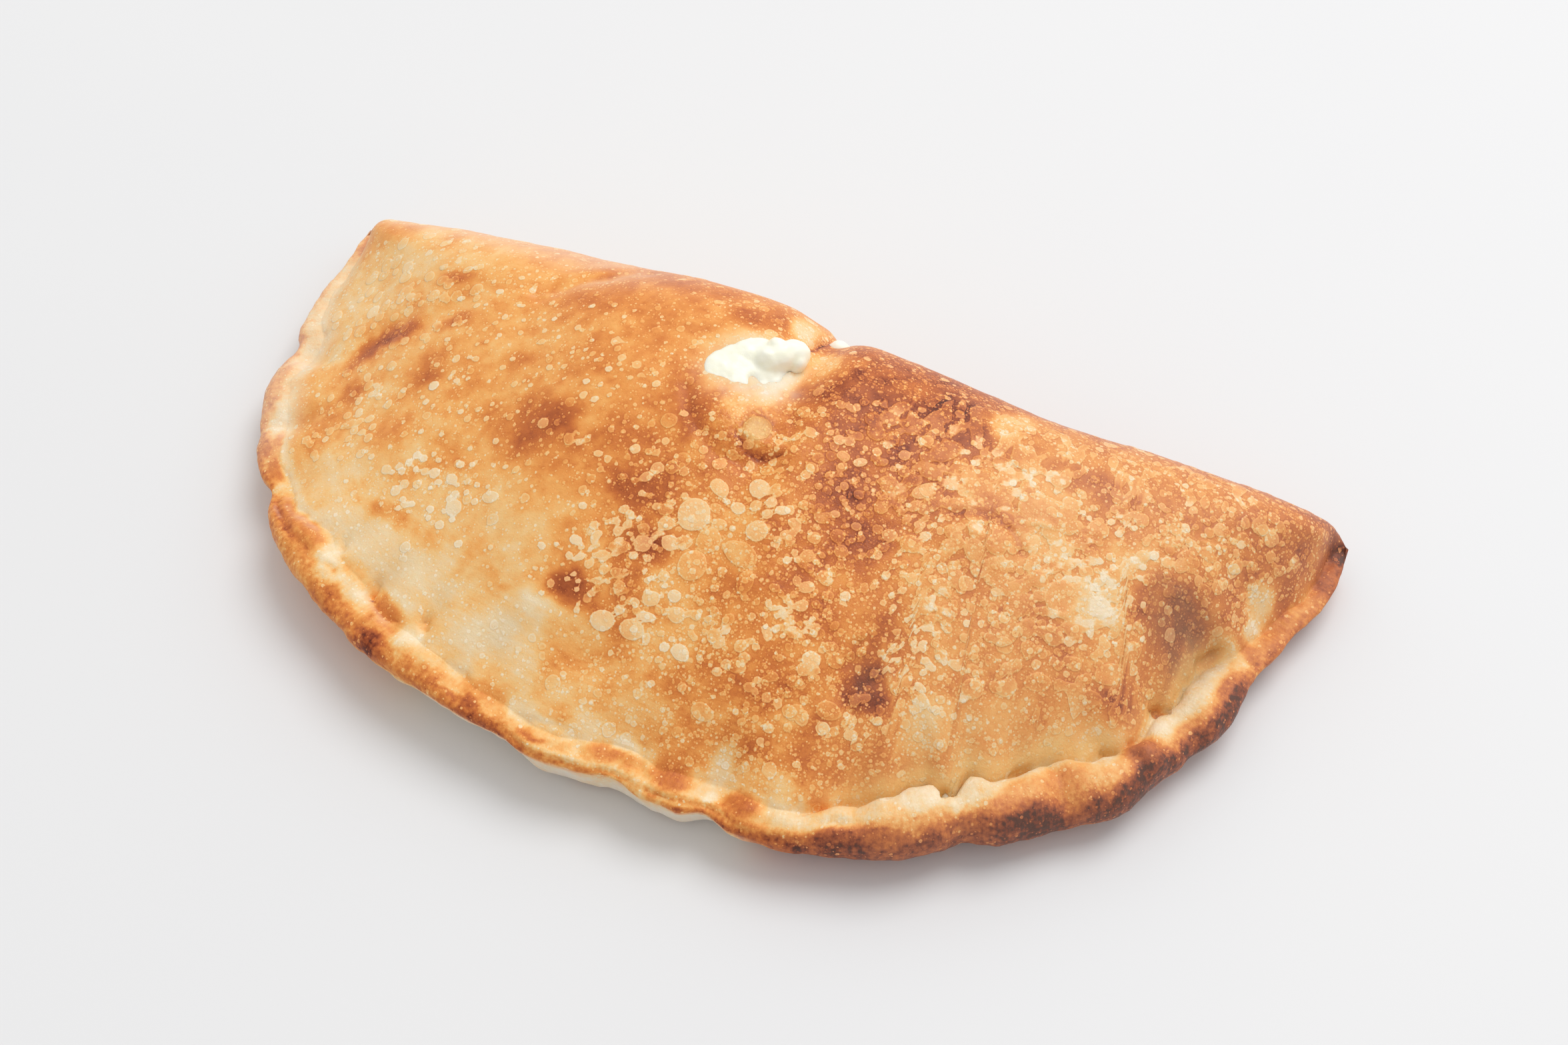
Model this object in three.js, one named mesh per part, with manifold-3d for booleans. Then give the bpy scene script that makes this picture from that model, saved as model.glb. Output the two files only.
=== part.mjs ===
// A baked calzone: one round of pizza dough folded over a ricotta filling, its open edge rolled
// and pinched shut. The crust is a single shell of dough and the ricotta runs through it. The
// cheese shows where it has burst the crust on the ridge, behind that in the notch, and in a
// short slit of the seam.
//
// Millimetres, +Z up. The two tips lie on the X axis, the rolled rim faces -Y and the fold +Y.
// The shape is worked out with the tips on y = 0 and is moved last, so that the origin is the
// middle of the footprint, on the surface that the calzone rests on.

import * as THREE from 'three';
import { mergeVertices } from 'three/addons/utils/BufferGeometryUtils.js';
import Module from 'manifold-3d';

const wasm = await Module();
wasm.setup();

// ---------------------------------------------------------------- driving sizes

const HALF_LENGTH = 140;      // middle to either tip
const DEPTH = 133;            // tips' line to the deepest place of the rim
const BROADEST_X = 17;        // the deepest place lies this far right of the middle
const LEFT_FULLNESS = 2.67;   // superellipse exponents of the two halves of the rim
const RIGHT_FULLNESS = 2.0;
const RIM_LENGTH = 450;       // round the rim from tip to tip, the scale of every "at" below
const RIM_STEPS = 300;        // pieces of the measured rim line
const RIM_FINE = 20;          // finer pieces that each of them is measured with

const WALL = 5;               // dough over the filling
const FLOOR_WALL = 4;         // dough under it
const SEAL = 19;              // solid dough at the rim, from its edge to the filling
const FOLD_WALL = 7;          // dough at the fold
const FILLING_ROUND = 9;      // width over which the filling's edge is rounded
const END_GROWTH = 4;         // how much faster the grown filling's ends move than its sides
const CLEARANCE = 0.35;       // gap between the curds and the dough
const INNER_CLEARANCE = 0.5;  // gap between the filling inside and the dough
const LENS_LEAST = 3;         // the filling ends where its section would be narrower than this
const CURD_AROUND = 14;       // faces round a curd, and rings from bottom to top
const CURD_RINGS = 9;
const WELD = 1e-4;            // vertices closer than this are one
const TINY = 1e-6;

const DOME_POWER = 2;         // how soon the dome rises from the crease towards the ridge
const CREASE_BLEND = 2;       // softness of the crease between roll and dome
const CREASE_RISE = 6;        // the crease is reached this far in from the rim's edge
const CREASE_LIFT = 0.45;     // crease height above the rim's edge, in heights of the roll
const RIM_BLEND = 2;          // the dome feels the rim as a mean over the places this much nearer
const MEAN_ROLL = 10;         // width of the roll as the deep inside of the dome feels it
const DEEP_FROM = 32;         // past the crease, where the dome forgets the pinches of the rim
const RIDGE_EASE = 3;         // rounds the dome off where crease and ridge meet at the tips
const BELLY_DIP = 1.5;        // the underside is made this much too deep, then cut flat
const BELLY_START = 1.5;      // the belly starts this far in from the edge
const FOLD_SLOPE = 0.9;       // width of its slope under the fold, in heights of the edge
const UNDER_ROLL = 4.5;       // half-round lower edge of the rim, its width and height
const UNDER_SHARE = 0.45;     // and no more than this share of the edge's height
const RELIEF_EDGE = 6;        // bumps and dents fade out within this distance of the edge

// Stations along X: [x, millimetres].
const BACK_Y = [[-141, 3], [-136, 5], [-125, 5.5], [-110, 5.5], [-90, 4.5], [-72, 5], [-50, 4], [-30, 5],
  [-12, 5], [0, 3.5], [6, 0.5], [12, 1.5], [25, 1], [60, 0.5], [90, 4], [105, 6], [118, 8], [132, 9],
  [141, 5]];
const RIDGE_HEIGHT = [[-141, 14], [-134, 20.5], [-125, 25], [-110, 30], [-95, 36], [-72, 43.5],
  [-50, 47.5], [-30, 50], [-12, 50.5], [0, 49], [6, 47.5], [15, 49], [40, 44.5], [75, 38.5], [100, 33],
  [118, 27.5], [131, 23], [141, 15]];
const BACK_ROUND = [[-141, 4], [-128, 12], [-110, 19], [-72, 28], [-30, 31], [15, 31], [60, 28],
  [100, 22], [127, 13], [140, 4]];
const RIM_HEIGHT = [[-141, 8], [-120, 12], [-90, 15], [-40, 15.5], [10, 13], [50, 10.5],
  [100, 8.5], [140, 8]];
const FOLD_HEIGHT = [[-141, 8], [-120, 11], [-90, 17], [-30, 21], [30, 21], [90, 15], [120, 11],
  [140, 8]];

// Stations along the rim from the left tip: [at, millimetres].
const ROLL_WIDTH = [[0, 5], [46, 7.5], [75, 8.5], [100, 8.5], [128, 11], [147, 10], [167, 9.5],
  [186, 7], [205, 6], [220, 6.5], [245, 7.5], [272, 9], [290, 11], [300, 13.5], [332, 14.5], [344, 15],
  [360, 10.5], [371, 11], [384, 10.5], [400, 10], [409, 7], [430, 5], [450, 4]];
const ROLL_HEIGHT = [[0, 1.5], [46, 3.5], [100, 4], [171, 4], [186, 3.5], [215, 3.5], [245, 4.5],
  [272, 6], [300, 8], [335, 8], [350, 7.5], [366, 6], [400, 4], [430, 2.5], [450, 1.2]];
const SLOPE_WIDTH = [[0, 8], [100, 13], [170, 12], [215, 9], [260, 8], [330, 10], [400, 9],
  [450, 8]];

// Where the rolled rim is pinched in or swells: at, out (of the outline), groove (share of the
// roll's height taken away), width.
const PINCHES = [
  { at: 2, out: 1.5, groove: 0, width: 6 },
  { at: 46, out: -2.6, groove: 0.5, width: 5 },
  { at: 62, out: 1.2, groove: -0.1, width: 7 },
  { at: 78, out: -0.4, groove: 0.35, width: 4 },
  { at: 100, out: -2.6, groove: 0.45, width: 6 },
  { at: 122, out: 0.3, groove: -0.1, width: 8 },
  { at: 147, out: -0.3, groove: 0.35, width: 4 },
  { at: 160, out: 0.8, groove: -0.1, width: 12 },
  { at: 188, out: 0.2, groove: 0.2, width: 4 },
  { at: 210, out: 1.6, groove: 0, width: 6 },
  { at: 231, out: -2.6, groove: 0.45, width: 6 },
  { at: 243, out: -0.9, groove: 0, width: 6 },
  { at: 254, out: -2.9, groove: 0.4, width: 5 },
  { at: 276, out: 0.9, groove: 0, width: 8 },
  { at: 298, out: 0.9, groove: -0.1, width: 9 },
  { at: 316, out: -2.4, groove: 0.1, width: 5 },
  { at: 340, out: 0, groove: 0.4, width: 3.5 },
  { at: 352, out: 2.8, groove: 0, width: 9 },
  { at: 378, out: -1, groove: 0.3, width: 5 },
  { at: 409, out: -4.8, groove: 0.4, width: 10 },
  { at: 448, out: 1.2, groove: 0, width: 8 },
];

// Bumps (up) and dents (down) of the dome: centre, half-widths, turn of the first half-width
// from X in degrees, height.
const RELIEF = [
  { x: 4, y: -13, rx: 7, ry: 15, turn: 8, up: -2.6 },      // notch between the two humps
  { x: -3, y: -33, rx: 13, ry: 8, turn: 20, up: -1.4 },    // sunk dough round the burst
  { x: 1, y: -50, rx: 11, ry: 8, turn: 15, up: 2.2 },      // glassy blister below it
  { x: 5, y: -56, rx: 8, ry: 3, turn: 25, up: -1.4 },      // fold under the blister
  { x: -13, y: -56, rx: 3, ry: 9, turn: 40, up: -0.8 },    // fold on its left
  { x: -46, y: -45, rx: 30, ry: 22, turn: 0, up: 1.6 },    // left hump
  { x: -108, y: -42, rx: 9, ry: 4, turn: 50, up: -1.2 },   // folds at the left end
  { x: -90, y: -34, rx: 9, ry: 4, turn: 50, up: -1 },
  { x: -88, y: -74, rx: 12, ry: 9, turn: 45, up: 1 },
  { x: 32, y: -66, rx: 16, ry: 24, turn: 0, up: -1.2 },    // low band across the middle
  { x: 78, y: -52, rx: 26, ry: 20, turn: -20, up: 1.6 },   // puffed right side
  { x: 48, y: -88, rx: 5, ry: 10, turn: -22, up: -1.3 },   // scorched dent
  { x: 106, y: -36, rx: 9, ry: 12, turn: -20, up: 0.8 },
  { x: -30, y: -104, rx: 8, ry: 6, turn: 0, up: 0.9 },     // pale bumps near the crease
  { x: -12, y: -110, rx: 9, ry: 5, turn: 0, up: -0.8 },
];

// Finger dimples along the crease: at, distance in from the rim's edge.
const DIMPLES = [
  { at: 113, inward: 12 }, { at: 135, inward: 12.5 }, { at: 149, inward: 12 },
  { at: 171, inward: 12.5 }, { at: 205, inward: 11 }, { at: 262, inward: 9 },
  { at: 330, inward: 14.5 }, { at: 347, inward: 15 }, { at: 366, inward: 14 },
  { at: 384, inward: 13 }, { at: 407, inward: 9 }, { at: 420, inward: 7 },
];
const DIMPLE_RADIUS = 4.4;
const DIMPLE_DEPTH = 2;

// Ricotta that has come out: centre, half-widths, height of its centre above the dough round
// it, and the turn of its first half-width from X in degrees.
const CURDS = [
  { x: -8.6, y: -34.3, rx: 8.4, ry: 6.4, rz: 5, lift: -3.4, turn: 15 },     // flat patch
  { x: -11.5, y: -36.2, rx: 5, ry: 4.5, rz: 4, lift: -2.5, turn: 0 },
  { x: -3.6, y: -28.8, rx: 4.2, ry: 3.8, rz: 3.8, lift: 0.5, turn: 0 },     // lump of curds
  { x: -1.5, y: -24.8, rx: 4, ry: 3.6, rz: 3.8, lift: 0.8, turn: 0 },
  { x: 1.5, y: -23.4, rx: 3.7, ry: 3.5, rz: 3.6, lift: 0.8, turn: 0 },
  { x: -2.8, y: -24, rx: 2.6, ry: 2.4, rz: 2.8, lift: 1.2, turn: 0 },
  { x: 6, y: -7.5, rx: 5, ry: 3, rz: 8, lift: -6.6, turn: 15 },             // in the notch
  { x: 73, y: -104.6, rx: 3.8, ry: 1.5, rz: 2.6, lift: -1.4, turn: 35 },    // in the slit
  { x: 69.4, y: -98.6, rx: 9, ry: 2.6, rz: 2.4, lift: -3.6, turn: 122 },    // and behind it
];

// ---------------------------------------------------------------- small tools

const clamp = (v, low, high) => Math.min(Math.max(v, low), high);
const mix = (a, b, share) => a + (b - a) * share;
const countTo = (length, make) => Array.from({ length }, (_, i) => make(i));

// Height of a quarter round, 0 at its edge (u = 0) and 1 from its crown on (u = 1).
const quarterRound = (u) => Math.sqrt(1 - (1 - clamp(u, 0, 1)) ** 2);

// The higher of two surfaces, with a soft join of the given width between them.
function softMax(a, b, width) {
  const share = clamp(0.5 + (0.5 * (a - b)) / width, 0, 1);
  return mix(b, a, share) + width * share * (1 - share);
}

// Smooth value through stations [position, value], without overshoot between them.
function along(stations, position) {
  const last = stations.length - 1;
  const p = clamp(position, stations[0][0], stations[last][0]);
  let i = 0;
  while (i < last - 1 && p > stations[i + 1][0]) i += 1;
  const slope = (k) => (stations[k + 1][1] - stations[k][1]) / (stations[k + 1][0] - stations[k][0]);
  const tangent = (k) => {
    if (k === 0) return slope(0);
    if (k === last) return slope(last - 1);
    const before = slope(k - 1);
    const after = slope(k);
    return before * after <= 0 ? 0 : (2 * before * after) / (before + after);
  };
  const [x0, v0] = stations[i];
  const [x1, v1] = stations[i + 1];
  const span = x1 - x0;
  const u = (p - x0) / span;
  return v0 * (1 + 2 * u) * (1 - u) ** 2 + tangent(i) * span * u * (1 - u) ** 2
    + v1 * u * u * (3 - 2 * u) - tangent(i + 1) * span * u * u * (1 - u);
}

// ---------------------------------------------------------------- the rim line

// Point of the plain rim, from the left tip (turn 0) round the front to the right tip (turn pi):
// two half superellipses that meet at the deepest place.
function plainRim(turn) {
  const c = -Math.cos(turn);
  const s = Math.sin(turn);
  const fullness = c < 0 ? LEFT_FULLNESS : RIGHT_FULLNESS;
  const reach = c < 0 ? HALF_LENGTH + BROADEST_X : HALF_LENGTH - BROADEST_X;
  return new THREE.Vector2(
    BROADEST_X + reach * Math.sign(c) * Math.abs(c) ** (2 / fullness),
    -DEPTH * s ** (2 / fullness),
  );
}

// What all pinches together do to the "out" or the "groove" of one place of the rim.
function pinched(at, what) {
  return PINCHES.reduce((sum, p) => sum + p[what] * Math.exp(-(((at - p.at) / p.width) ** 2)), 0);
}

// The rim as evenly spaced points, moved out or in by the pinches.
function makeRimLine() {
  const count = RIM_STEPS * RIM_FINE;
  const fine = countTo(count + 1, (i) => plainRim((Math.PI * i) / count));
  const run = [0];
  for (let i = 1; i < fine.length; i += 1) run.push(run[i - 1] + fine[i].distanceTo(fine[i - 1]));
  const total = run[run.length - 1];
  const even = [];
  let k = 0;
  for (let i = 0; i <= RIM_STEPS; i += 1) {
    const goal = (total * i) / RIM_STEPS;
    while (k < run.length - 2 && run[k + 1] < goal) k += 1;
    even.push(fine[k].clone().lerp(fine[k + 1], (goal - run[k]) / (run[k + 1] - run[k])));
  }
  return even.map((point, i) => {
    const before = even[Math.max(i - 1, 0)];
    const after = even[Math.min(i + 1, RIM_STEPS)];
    const outward = new THREE.Vector2(after.y - before.y, before.x - after.x).normalize();
    const at = (RIM_LENGTH * i) / RIM_STEPS;
    return point.clone().addScaledVector(outward, pinched(at, 'out'));
  });
}

const rimLine = makeRimLine();

function rimPoint(at) {
  const i = clamp((at / RIM_LENGTH) * RIM_STEPS, 0, RIM_STEPS - TINY);
  return rimLine[Math.floor(i)].clone().lerp(rimLine[Math.floor(i) + 1], i % 1);
}

function rimInward(at) {
  const before = rimPoint(at - 1);
  const after = rimPoint(at + 1);
  return new THREE.Vector2(before.y - after.y, after.x - before.x).normalize();
}

// How far (x, y) lies from the rim's edge: "inward" to the nearest place, and "near" to the whole
// stretch that is about as close, whose middle is "at". The second has no sharp lines in it.
function fromRim(x, y) {
  const distances = [];
  const places = [];
  for (let i = 0; i < RIM_STEPS; i += 1) {
    const a = rimLine[i];
    const b = rimLine[i + 1];
    const ex = b.x - a.x;
    const ey = b.y - a.y;
    const u = clamp(((x - a.x) * ex + (y - a.y) * ey) / (ex * ex + ey * ey), 0, 1);
    distances.push(Math.hypot(x - a.x - u * ex, y - a.y - u * ey));
    places.push(((i + u) / RIM_STEPS) * RIM_LENGTH);
  }
  const inward = Math.min(...distances);
  const weights = distances.map((distance) => Math.exp((inward - distance) / RIM_BLEND));
  const mean = (values) => values.reduce((sum, value, i) => sum + value * weights[i], 0)
    / weights.reduce((sum, weight) => sum + weight, 0);
  return { inward, near: Math.max(mean(distances) - RIM_BLEND / 2, 0), at: mean(places) };
}

const dimples = DIMPLES.map(({ at, inward }) => rimPoint(at).addScaledVector(rimInward(at), inward));

// ---------------------------------------------------------------- heights of the two faces

// What both faces need to know about the place (x, y).
function place(x, y) {
  const { inward, near, at } = fromRim(x, y);
  const fromBack = Math.max(along(BACK_Y, x) - y, 0);
  const share = inward / Math.max(inward + fromBack, TINY);
  const edge = mix(along(RIM_HEIGHT, x), along(FOLD_HEIGHT, x), share);
  return { x, y, inward, near, at, fromBack, share, edge, inside: Math.min(inward, fromBack) };
}

// The rolled rim alone: half an ellipse, grooved at the pinches.
function rollHeight({ inward, at }) {
  const half = along(ROLL_WIDTH, at) / 2;
  const groove = pinched(at, 'groove');
  const crown = along(ROLL_HEIGHT, at) * (1 - groove);
  return crown * Math.sqrt(Math.max(1 - ((inward - half) / half) ** 2, 0));
}

// How far (x, y) lies inside the plain rim, measured by its superellipses. Unlike the distance
// to the pinched edge it has no sharp valleys or ridges deep inside.
function smoothInward(x, y) {
  const left = x < BROADEST_X;
  const fullness = left ? LEFT_FULLNESS : RIGHT_FULLNESS;
  const reach = left ? HALF_LENGTH + BROADEST_X : HALF_LENGTH - BROADEST_X;
  const level = (Math.abs((x - BROADEST_X) / reach) ** fullness
    + (Math.max(-y, 0) / DEPTH) ** fullness) ** (1 / fullness);
  return DEPTH * (1 - level);
}

// The dome alone: it climbs from the crease to the ridge beside the fold.
function domeHeight({ x, y, inward, near, at, edge }) {
  const crease = CREASE_LIFT * along(ROLL_HEIGHT, at);
  const nearby = Math.max(near - along(ROLL_WIDTH, at), 0);
  const deep = Math.max(smoothInward(x, y) - MEAN_ROLL, 0);
  const pastCrease = mix(nearby, deep, THREE.MathUtils.smoothstep(nearby, 0, DEEP_FROM));
  const toRidge = Math.max(along(BACK_Y, x) - along(BACK_ROUND, x) - y, 0);
  const share = pastCrease / (pastCrease + toRidge + RIDGE_EASE);
  const rise = 1 - (1 - share) ** DOME_POWER;
  return crease * quarterRound(inward / CREASE_RISE)
    + (along(RIDGE_HEIGHT, x) - edge - crease) * rise;
}

function reliefHeight({ x, y, inside }) {
  let sum = 0;
  for (const bump of RELIEF) {
    const turn = THREE.MathUtils.degToRad(bump.turn);
    const dx = x - bump.x;
    const dy = y - bump.y;
    const a = (dx * Math.cos(turn) + dy * Math.sin(turn)) / bump.rx;
    const b = (dy * Math.cos(turn) - dx * Math.sin(turn)) / bump.ry;
    sum += bump.up * Math.exp(-(a * a + b * b));
  }
  for (const dimple of dimples) {
    const far = Math.hypot(x - dimple.x, y - dimple.y) / DIMPLE_RADIUS;
    sum -= DIMPLE_DEPTH * Math.exp(-(far * far));
  }
  return sum * quarterRound(inside / RELIEF_EDGE);
}

function topHeight(spot) {
  const backRound = quarterRound(spot.fromBack / along(BACK_ROUND, spot.x));
  const risen = softMax(rollHeight(spot), domeHeight(spot), CREASE_BLEND);
  return spot.edge + backRound * risen + reliefHeight(spot);
}

// The underside: the half-round lower edge of the rim, then the belly going down to the table.
function bottomHeight(spot) {
  const { inside, edge, share, at } = spot;
  const slope = mix(along(SLOPE_WIDTH, at), edge * FOLD_SLOPE, share);
  const under = Math.min(UNDER_ROLL, edge * UNDER_SHARE);
  const lip = under * quarterRound(inside / under);
  const belly = (edge + BELLY_DIP) * quarterRound((inside - BELLY_START) / slope);
  return edge - Math.max(lip, belly);
}

// ---------------------------------------------------------------- skins

const COLUMNS = 96;           // sections of the crust from tip to tip
const MIDDLE_ROWS = 13;       // rows of its dome between the roll and the fold
const BACK_ROWS = 8;          // rows that go round the fold
const LENS_COLUMNS = 30;      // the same for the filling
const LENS_ROWS = 10;
const END_SHARE = 0.45;       // no band of rows takes more than this share of a short section
const LOWEST_SINE = 0.35;     // a slanting section stretches its bands by no more than 1 / this

// Rows of a section, as shares of the roll's width and as millimetres in from either lower edge.
const ROLL_ROWS = [0, 0.06, 0.2, 0.42, 0.68, 0.86, 1, 1.14, 1.42, 1.85];
const UNDER_ROWS = [1.2, 3.5, 7, 13];

const leftTip = rimLine[0];
const rightTip = rimLine[RIM_STEPS];

// The straight line that section number share (0 to 1) follows in plan, from rim to fold.
function sectionLine(share) {
  const at = share * RIM_LENGTH;
  const start = rimPoint(at);
  const x = mix(leftTip.x, rightTip.x, share);
  const end = new THREE.Vector2(x, along(BACK_Y, x));
  const length = start.distanceTo(end);
  const way = end.clone().sub(start).divideScalar(length);
  return {
    at,
    length,
    point: (part) => start.clone().lerp(end, part),
    rimSine: Math.max(way.dot(rimInward(at)), LOWEST_SINE),
    backSine: Math.max(way.y, LOWEST_SINE),
    round: along(BACK_ROUND, x),
  };
}

// Keeps a band of rows, given in millimetres, within its share of the section.
function band(rows, length) {
  const last = rows.length - 1;
  return rows.map((row, k) => Math.min(row / length, (END_SHARE * k) / last));
}

// One closed ring of points: over the dome from rim to fold, then back underneath.
function crustSection(share) {
  const line = sectionLine(share);
  const rollSpan = along(ROLL_WIDTH, line.at) / line.rimSine;
  const rim = band(ROLL_ROWS.map((row) => row * rollSpan), line.length);
  const roundSpan = line.round / line.backSine;
  const round = countTo(BACK_ROWS + 1, (k) => roundSpan * (1 - Math.cos((Math.PI / 2) * (k / BACK_ROWS))));
  const fold = band(round, line.length).map((part) => 1 - part).reverse();
  const from = rim[rim.length - 1];
  const middle = countTo(MIDDLE_ROWS - 1, (k) => mix(from, fold[0], (k + 1) / MIDDLE_ROWS));
  const over = [...rim, ...middle, ...fold].map((part) => {
    const { x, y } = line.point(part);
    return new THREE.Vector3(x, y, topHeight(place(x, y)));
  });
  const nearRim = band([0, ...UNDER_ROWS.map((row) => row / line.rimSine)], line.length).slice(1);
  const nearFold = band([0, ...UNDER_ROWS.map((row) => row / line.backSine)], line.length).slice(1);
  const under = [...nearFold.map((part) => 1 - part), ...nearRim.reverse()].map((part) => {
    const { x, y } = line.point(part);
    return new THREE.Vector3(x, y, bottomHeight(place(x, y)));
  });
  return [...over, ...under];
}

// The filling fills the crust but for its walls. "grow" makes it that much larger all round.
// Returns nothing where the crust is too narrow to hold any.
function lensSection(share, grow) {
  const line = sectionLine(share);
  const from = SEAL / line.rimSine / line.length;
  const to = 1 - FOLD_WALL / line.backSine / line.length;
  const free = (to - from) * line.length;
  if (free < LENS_LEAST) return [];
  const start = from - grow / line.rimSine / line.length;
  const end = to + grow / line.backSine / line.length;
  const point = (part, side) => {
    const { x, y } = line.point(mix(start, end, part));
    const spot = place(x, y);
    const full = quarterRound(Math.min(part, 1 - part) * (free / FILLING_ROUND));
    const goal = side > 0 ? topHeight(spot) - WALL + grow : FLOOR_WALL - grow;
    return new THREE.Vector3(x, y, mix(spot.edge, goal, full));
  };
  const parts = countTo(LENS_ROWS, (k) => (1 - Math.cos((Math.PI * k) / LENS_ROWS)) / 2);
  return [...parts.map((part) => point(part, 1)), ...parts.map((part) => point(1 - part, -1))];
}

function lensSections(grow) {
  const rings = countTo(LENS_COLUMNS - 1, (k) => lensSection((k + 1) / LENS_COLUMNS, grow))
    .filter((ring) => ring.length > 0);
  const end = (ring, side) => {
    const middle = ring.reduce((sum, p) => sum.add(p), new THREE.Vector3()).divideScalar(ring.length);
    return [middle.setX(middle.x + side * (LENS_LEAST + END_GROWTH * grow))];
  };
  return [end(rings[0], -1), ...rings, end(rings[rings.length - 1], 1)];
}

// A closed skin through the sections. A sphere with its poles at the tips supplies the faces,
// and each of its rings is moved to one section; the first and last are single points.
function sweptSkin(sections) {
  const around = sections[1].length;
  const geometry = new THREE.SphereGeometry(1, around, sections.length - 1);
  const { position } = geometry.attributes;
  for (let i = 0; i < position.count; i += 1) {
    const ring = sections[Math.floor(i / (around + 1))];
    const point = ring[(i % (around + 1)) % ring.length];
    position.setXYZ(i, point.x, point.y, point.z);
  }
  return geometry;
}

// ---------------------------------------------------------------- solids

function solid(geometry) {
  geometry.deleteAttribute('normal');
  geometry.deleteAttribute('uv');
  const welded = mergeVertices(geometry, WELD);
  return new wasm.Manifold(new wasm.Mesh({
    numProp: 3,
    vertProperties: new Float32Array(welded.attributes.position.array),
    triVerts: new Uint32Array(welded.index.array),
  }));
}

function geometryOf(manifold) {
  const mesh = manifold.getMesh();
  const geometry = new THREE.BufferGeometry();
  geometry.setAttribute('position', new THREE.BufferAttribute(mesh.vertProperties, mesh.numProp));
  geometry.setIndex(new THREE.BufferAttribute(mesh.triVerts, 1));
  geometry.computeVertexNormals();
  return geometry;
}

// A curd: a lumpy ball squeezed to its half-widths, standing on the dough where it came out.
function curd({ x, y, rx, ry, rz, lift, turn }, grow) {
  const geometry = new THREE.SphereGeometry(1, CURD_AROUND, CURD_RINGS);
  geometry.rotateX(Math.PI / 2);
  geometry.scale(rx + grow, ry + grow, rz + grow);
  geometry.rotateZ(THREE.MathUtils.degToRad(turn));
  geometry.translate(x, y, topHeight(place(x, y)) + lift);
  return solid(geometry);
}

function cheese(innerGrow, curdGrow) {
  const lens = solid(sweptSkin(lensSections(innerGrow)));
  return CURDS.reduce((whole, one) => whole.add(curd(one, curdGrow)), lens);
}

function crust() {
  const tip = (point) => [new THREE.Vector3(point.x, point.y, place(point.x, point.y).edge)];
  const inner = countTo(COLUMNS - 1, (k) => crustSection((k + 1) / COLUMNS));
  const whole = solid(sweptSkin([tip(leftTip), ...inner, tip(rightTip)]));
  const length = 2 * HALF_LENGTH;
  const table = new THREE.BoxGeometry(2 * length, 2 * length, length).translate(0, 0, -length / 2);
  return whole.subtract(solid(table)).subtract(cheese(INNER_CLEARANCE, CLEARANCE));
}

// ---------------------------------------------------------------- the calzone

const crustMesh = new THREE.Mesh(
  geometryOf(crust()),
  new THREE.MeshStandardMaterial({ color: 0xd98f4b, roughness: 0.55, metalness: 0 }),
);
crustMesh.name = 'crust';

const fillingMesh = new THREE.Mesh(
  geometryOf(cheese(0, 0)),
  new THREE.MeshStandardMaterial({ color: 0xf4f2e2, roughness: 0.45, metalness: 0 }),
);
fillingMesh.name = 'ricotta';

const calzone = new THREE.Group();
calzone.add(crustMesh, fillingMesh);
const box = new THREE.Box3().setFromObject(calzone);
calzone.position.set(-(box.min.x + box.max.x) / 2, -(box.min.y + box.max.y) / 2, 0);

export default calzone;
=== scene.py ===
# A baked calzone on a pale table: a shell of pizza dough folded over ricotta, with its open edge
# rolled and pinched shut. Shapes are worked out in millimetres with the two tips on the X axis,
# the rolled rim towards -Y and the fold towards +Y, and are turned into metres last.

import math
from itertools import product

import bmesh
import bpy
import numpy as np
from mathutils import Matrix, Vector
from mathutils.kdtree import KDTree


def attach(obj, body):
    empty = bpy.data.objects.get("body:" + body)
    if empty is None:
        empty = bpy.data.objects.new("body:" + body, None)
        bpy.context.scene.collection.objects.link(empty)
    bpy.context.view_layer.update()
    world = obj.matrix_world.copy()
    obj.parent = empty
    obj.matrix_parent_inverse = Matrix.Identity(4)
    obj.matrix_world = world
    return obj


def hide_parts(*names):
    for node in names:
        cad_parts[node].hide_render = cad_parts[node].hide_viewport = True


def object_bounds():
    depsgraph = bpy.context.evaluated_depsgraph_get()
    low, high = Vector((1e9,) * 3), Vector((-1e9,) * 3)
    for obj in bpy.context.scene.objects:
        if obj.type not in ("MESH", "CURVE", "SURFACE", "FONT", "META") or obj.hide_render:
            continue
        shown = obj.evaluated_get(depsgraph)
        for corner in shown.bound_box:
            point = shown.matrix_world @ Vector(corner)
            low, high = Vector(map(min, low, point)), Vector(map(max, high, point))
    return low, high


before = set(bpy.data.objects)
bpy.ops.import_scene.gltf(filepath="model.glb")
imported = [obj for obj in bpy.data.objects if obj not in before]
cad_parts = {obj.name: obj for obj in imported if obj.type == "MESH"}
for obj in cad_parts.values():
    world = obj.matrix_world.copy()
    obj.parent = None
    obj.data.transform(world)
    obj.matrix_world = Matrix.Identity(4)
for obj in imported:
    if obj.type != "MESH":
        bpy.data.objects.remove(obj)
cad_low, cad_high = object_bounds()

# ---------------------------------------------------------------------------------------------
# Outline of the folded round
# The dough was rolled to a 12 inch round. Folded over, its open edge is a half round with a full
# left side, rolled inwards and pinched shut by hand, which left dents and swellings.
# ---------------------------------------------------------------------------------------------

HALF_LENGTH = 140
DEPTH = 133
BROADEST_X = 17
LEFT_FULLNESS = 2.67
RIGHT_FULLNESS = 2.0
RIM_LENGTH = 450
RIM_STEPS = 300
RIM_FINE = 20
RIM_BLEND = 2           # distances to the rim are blended over this much
CHUNK = 4000            # points measured at a time

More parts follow.
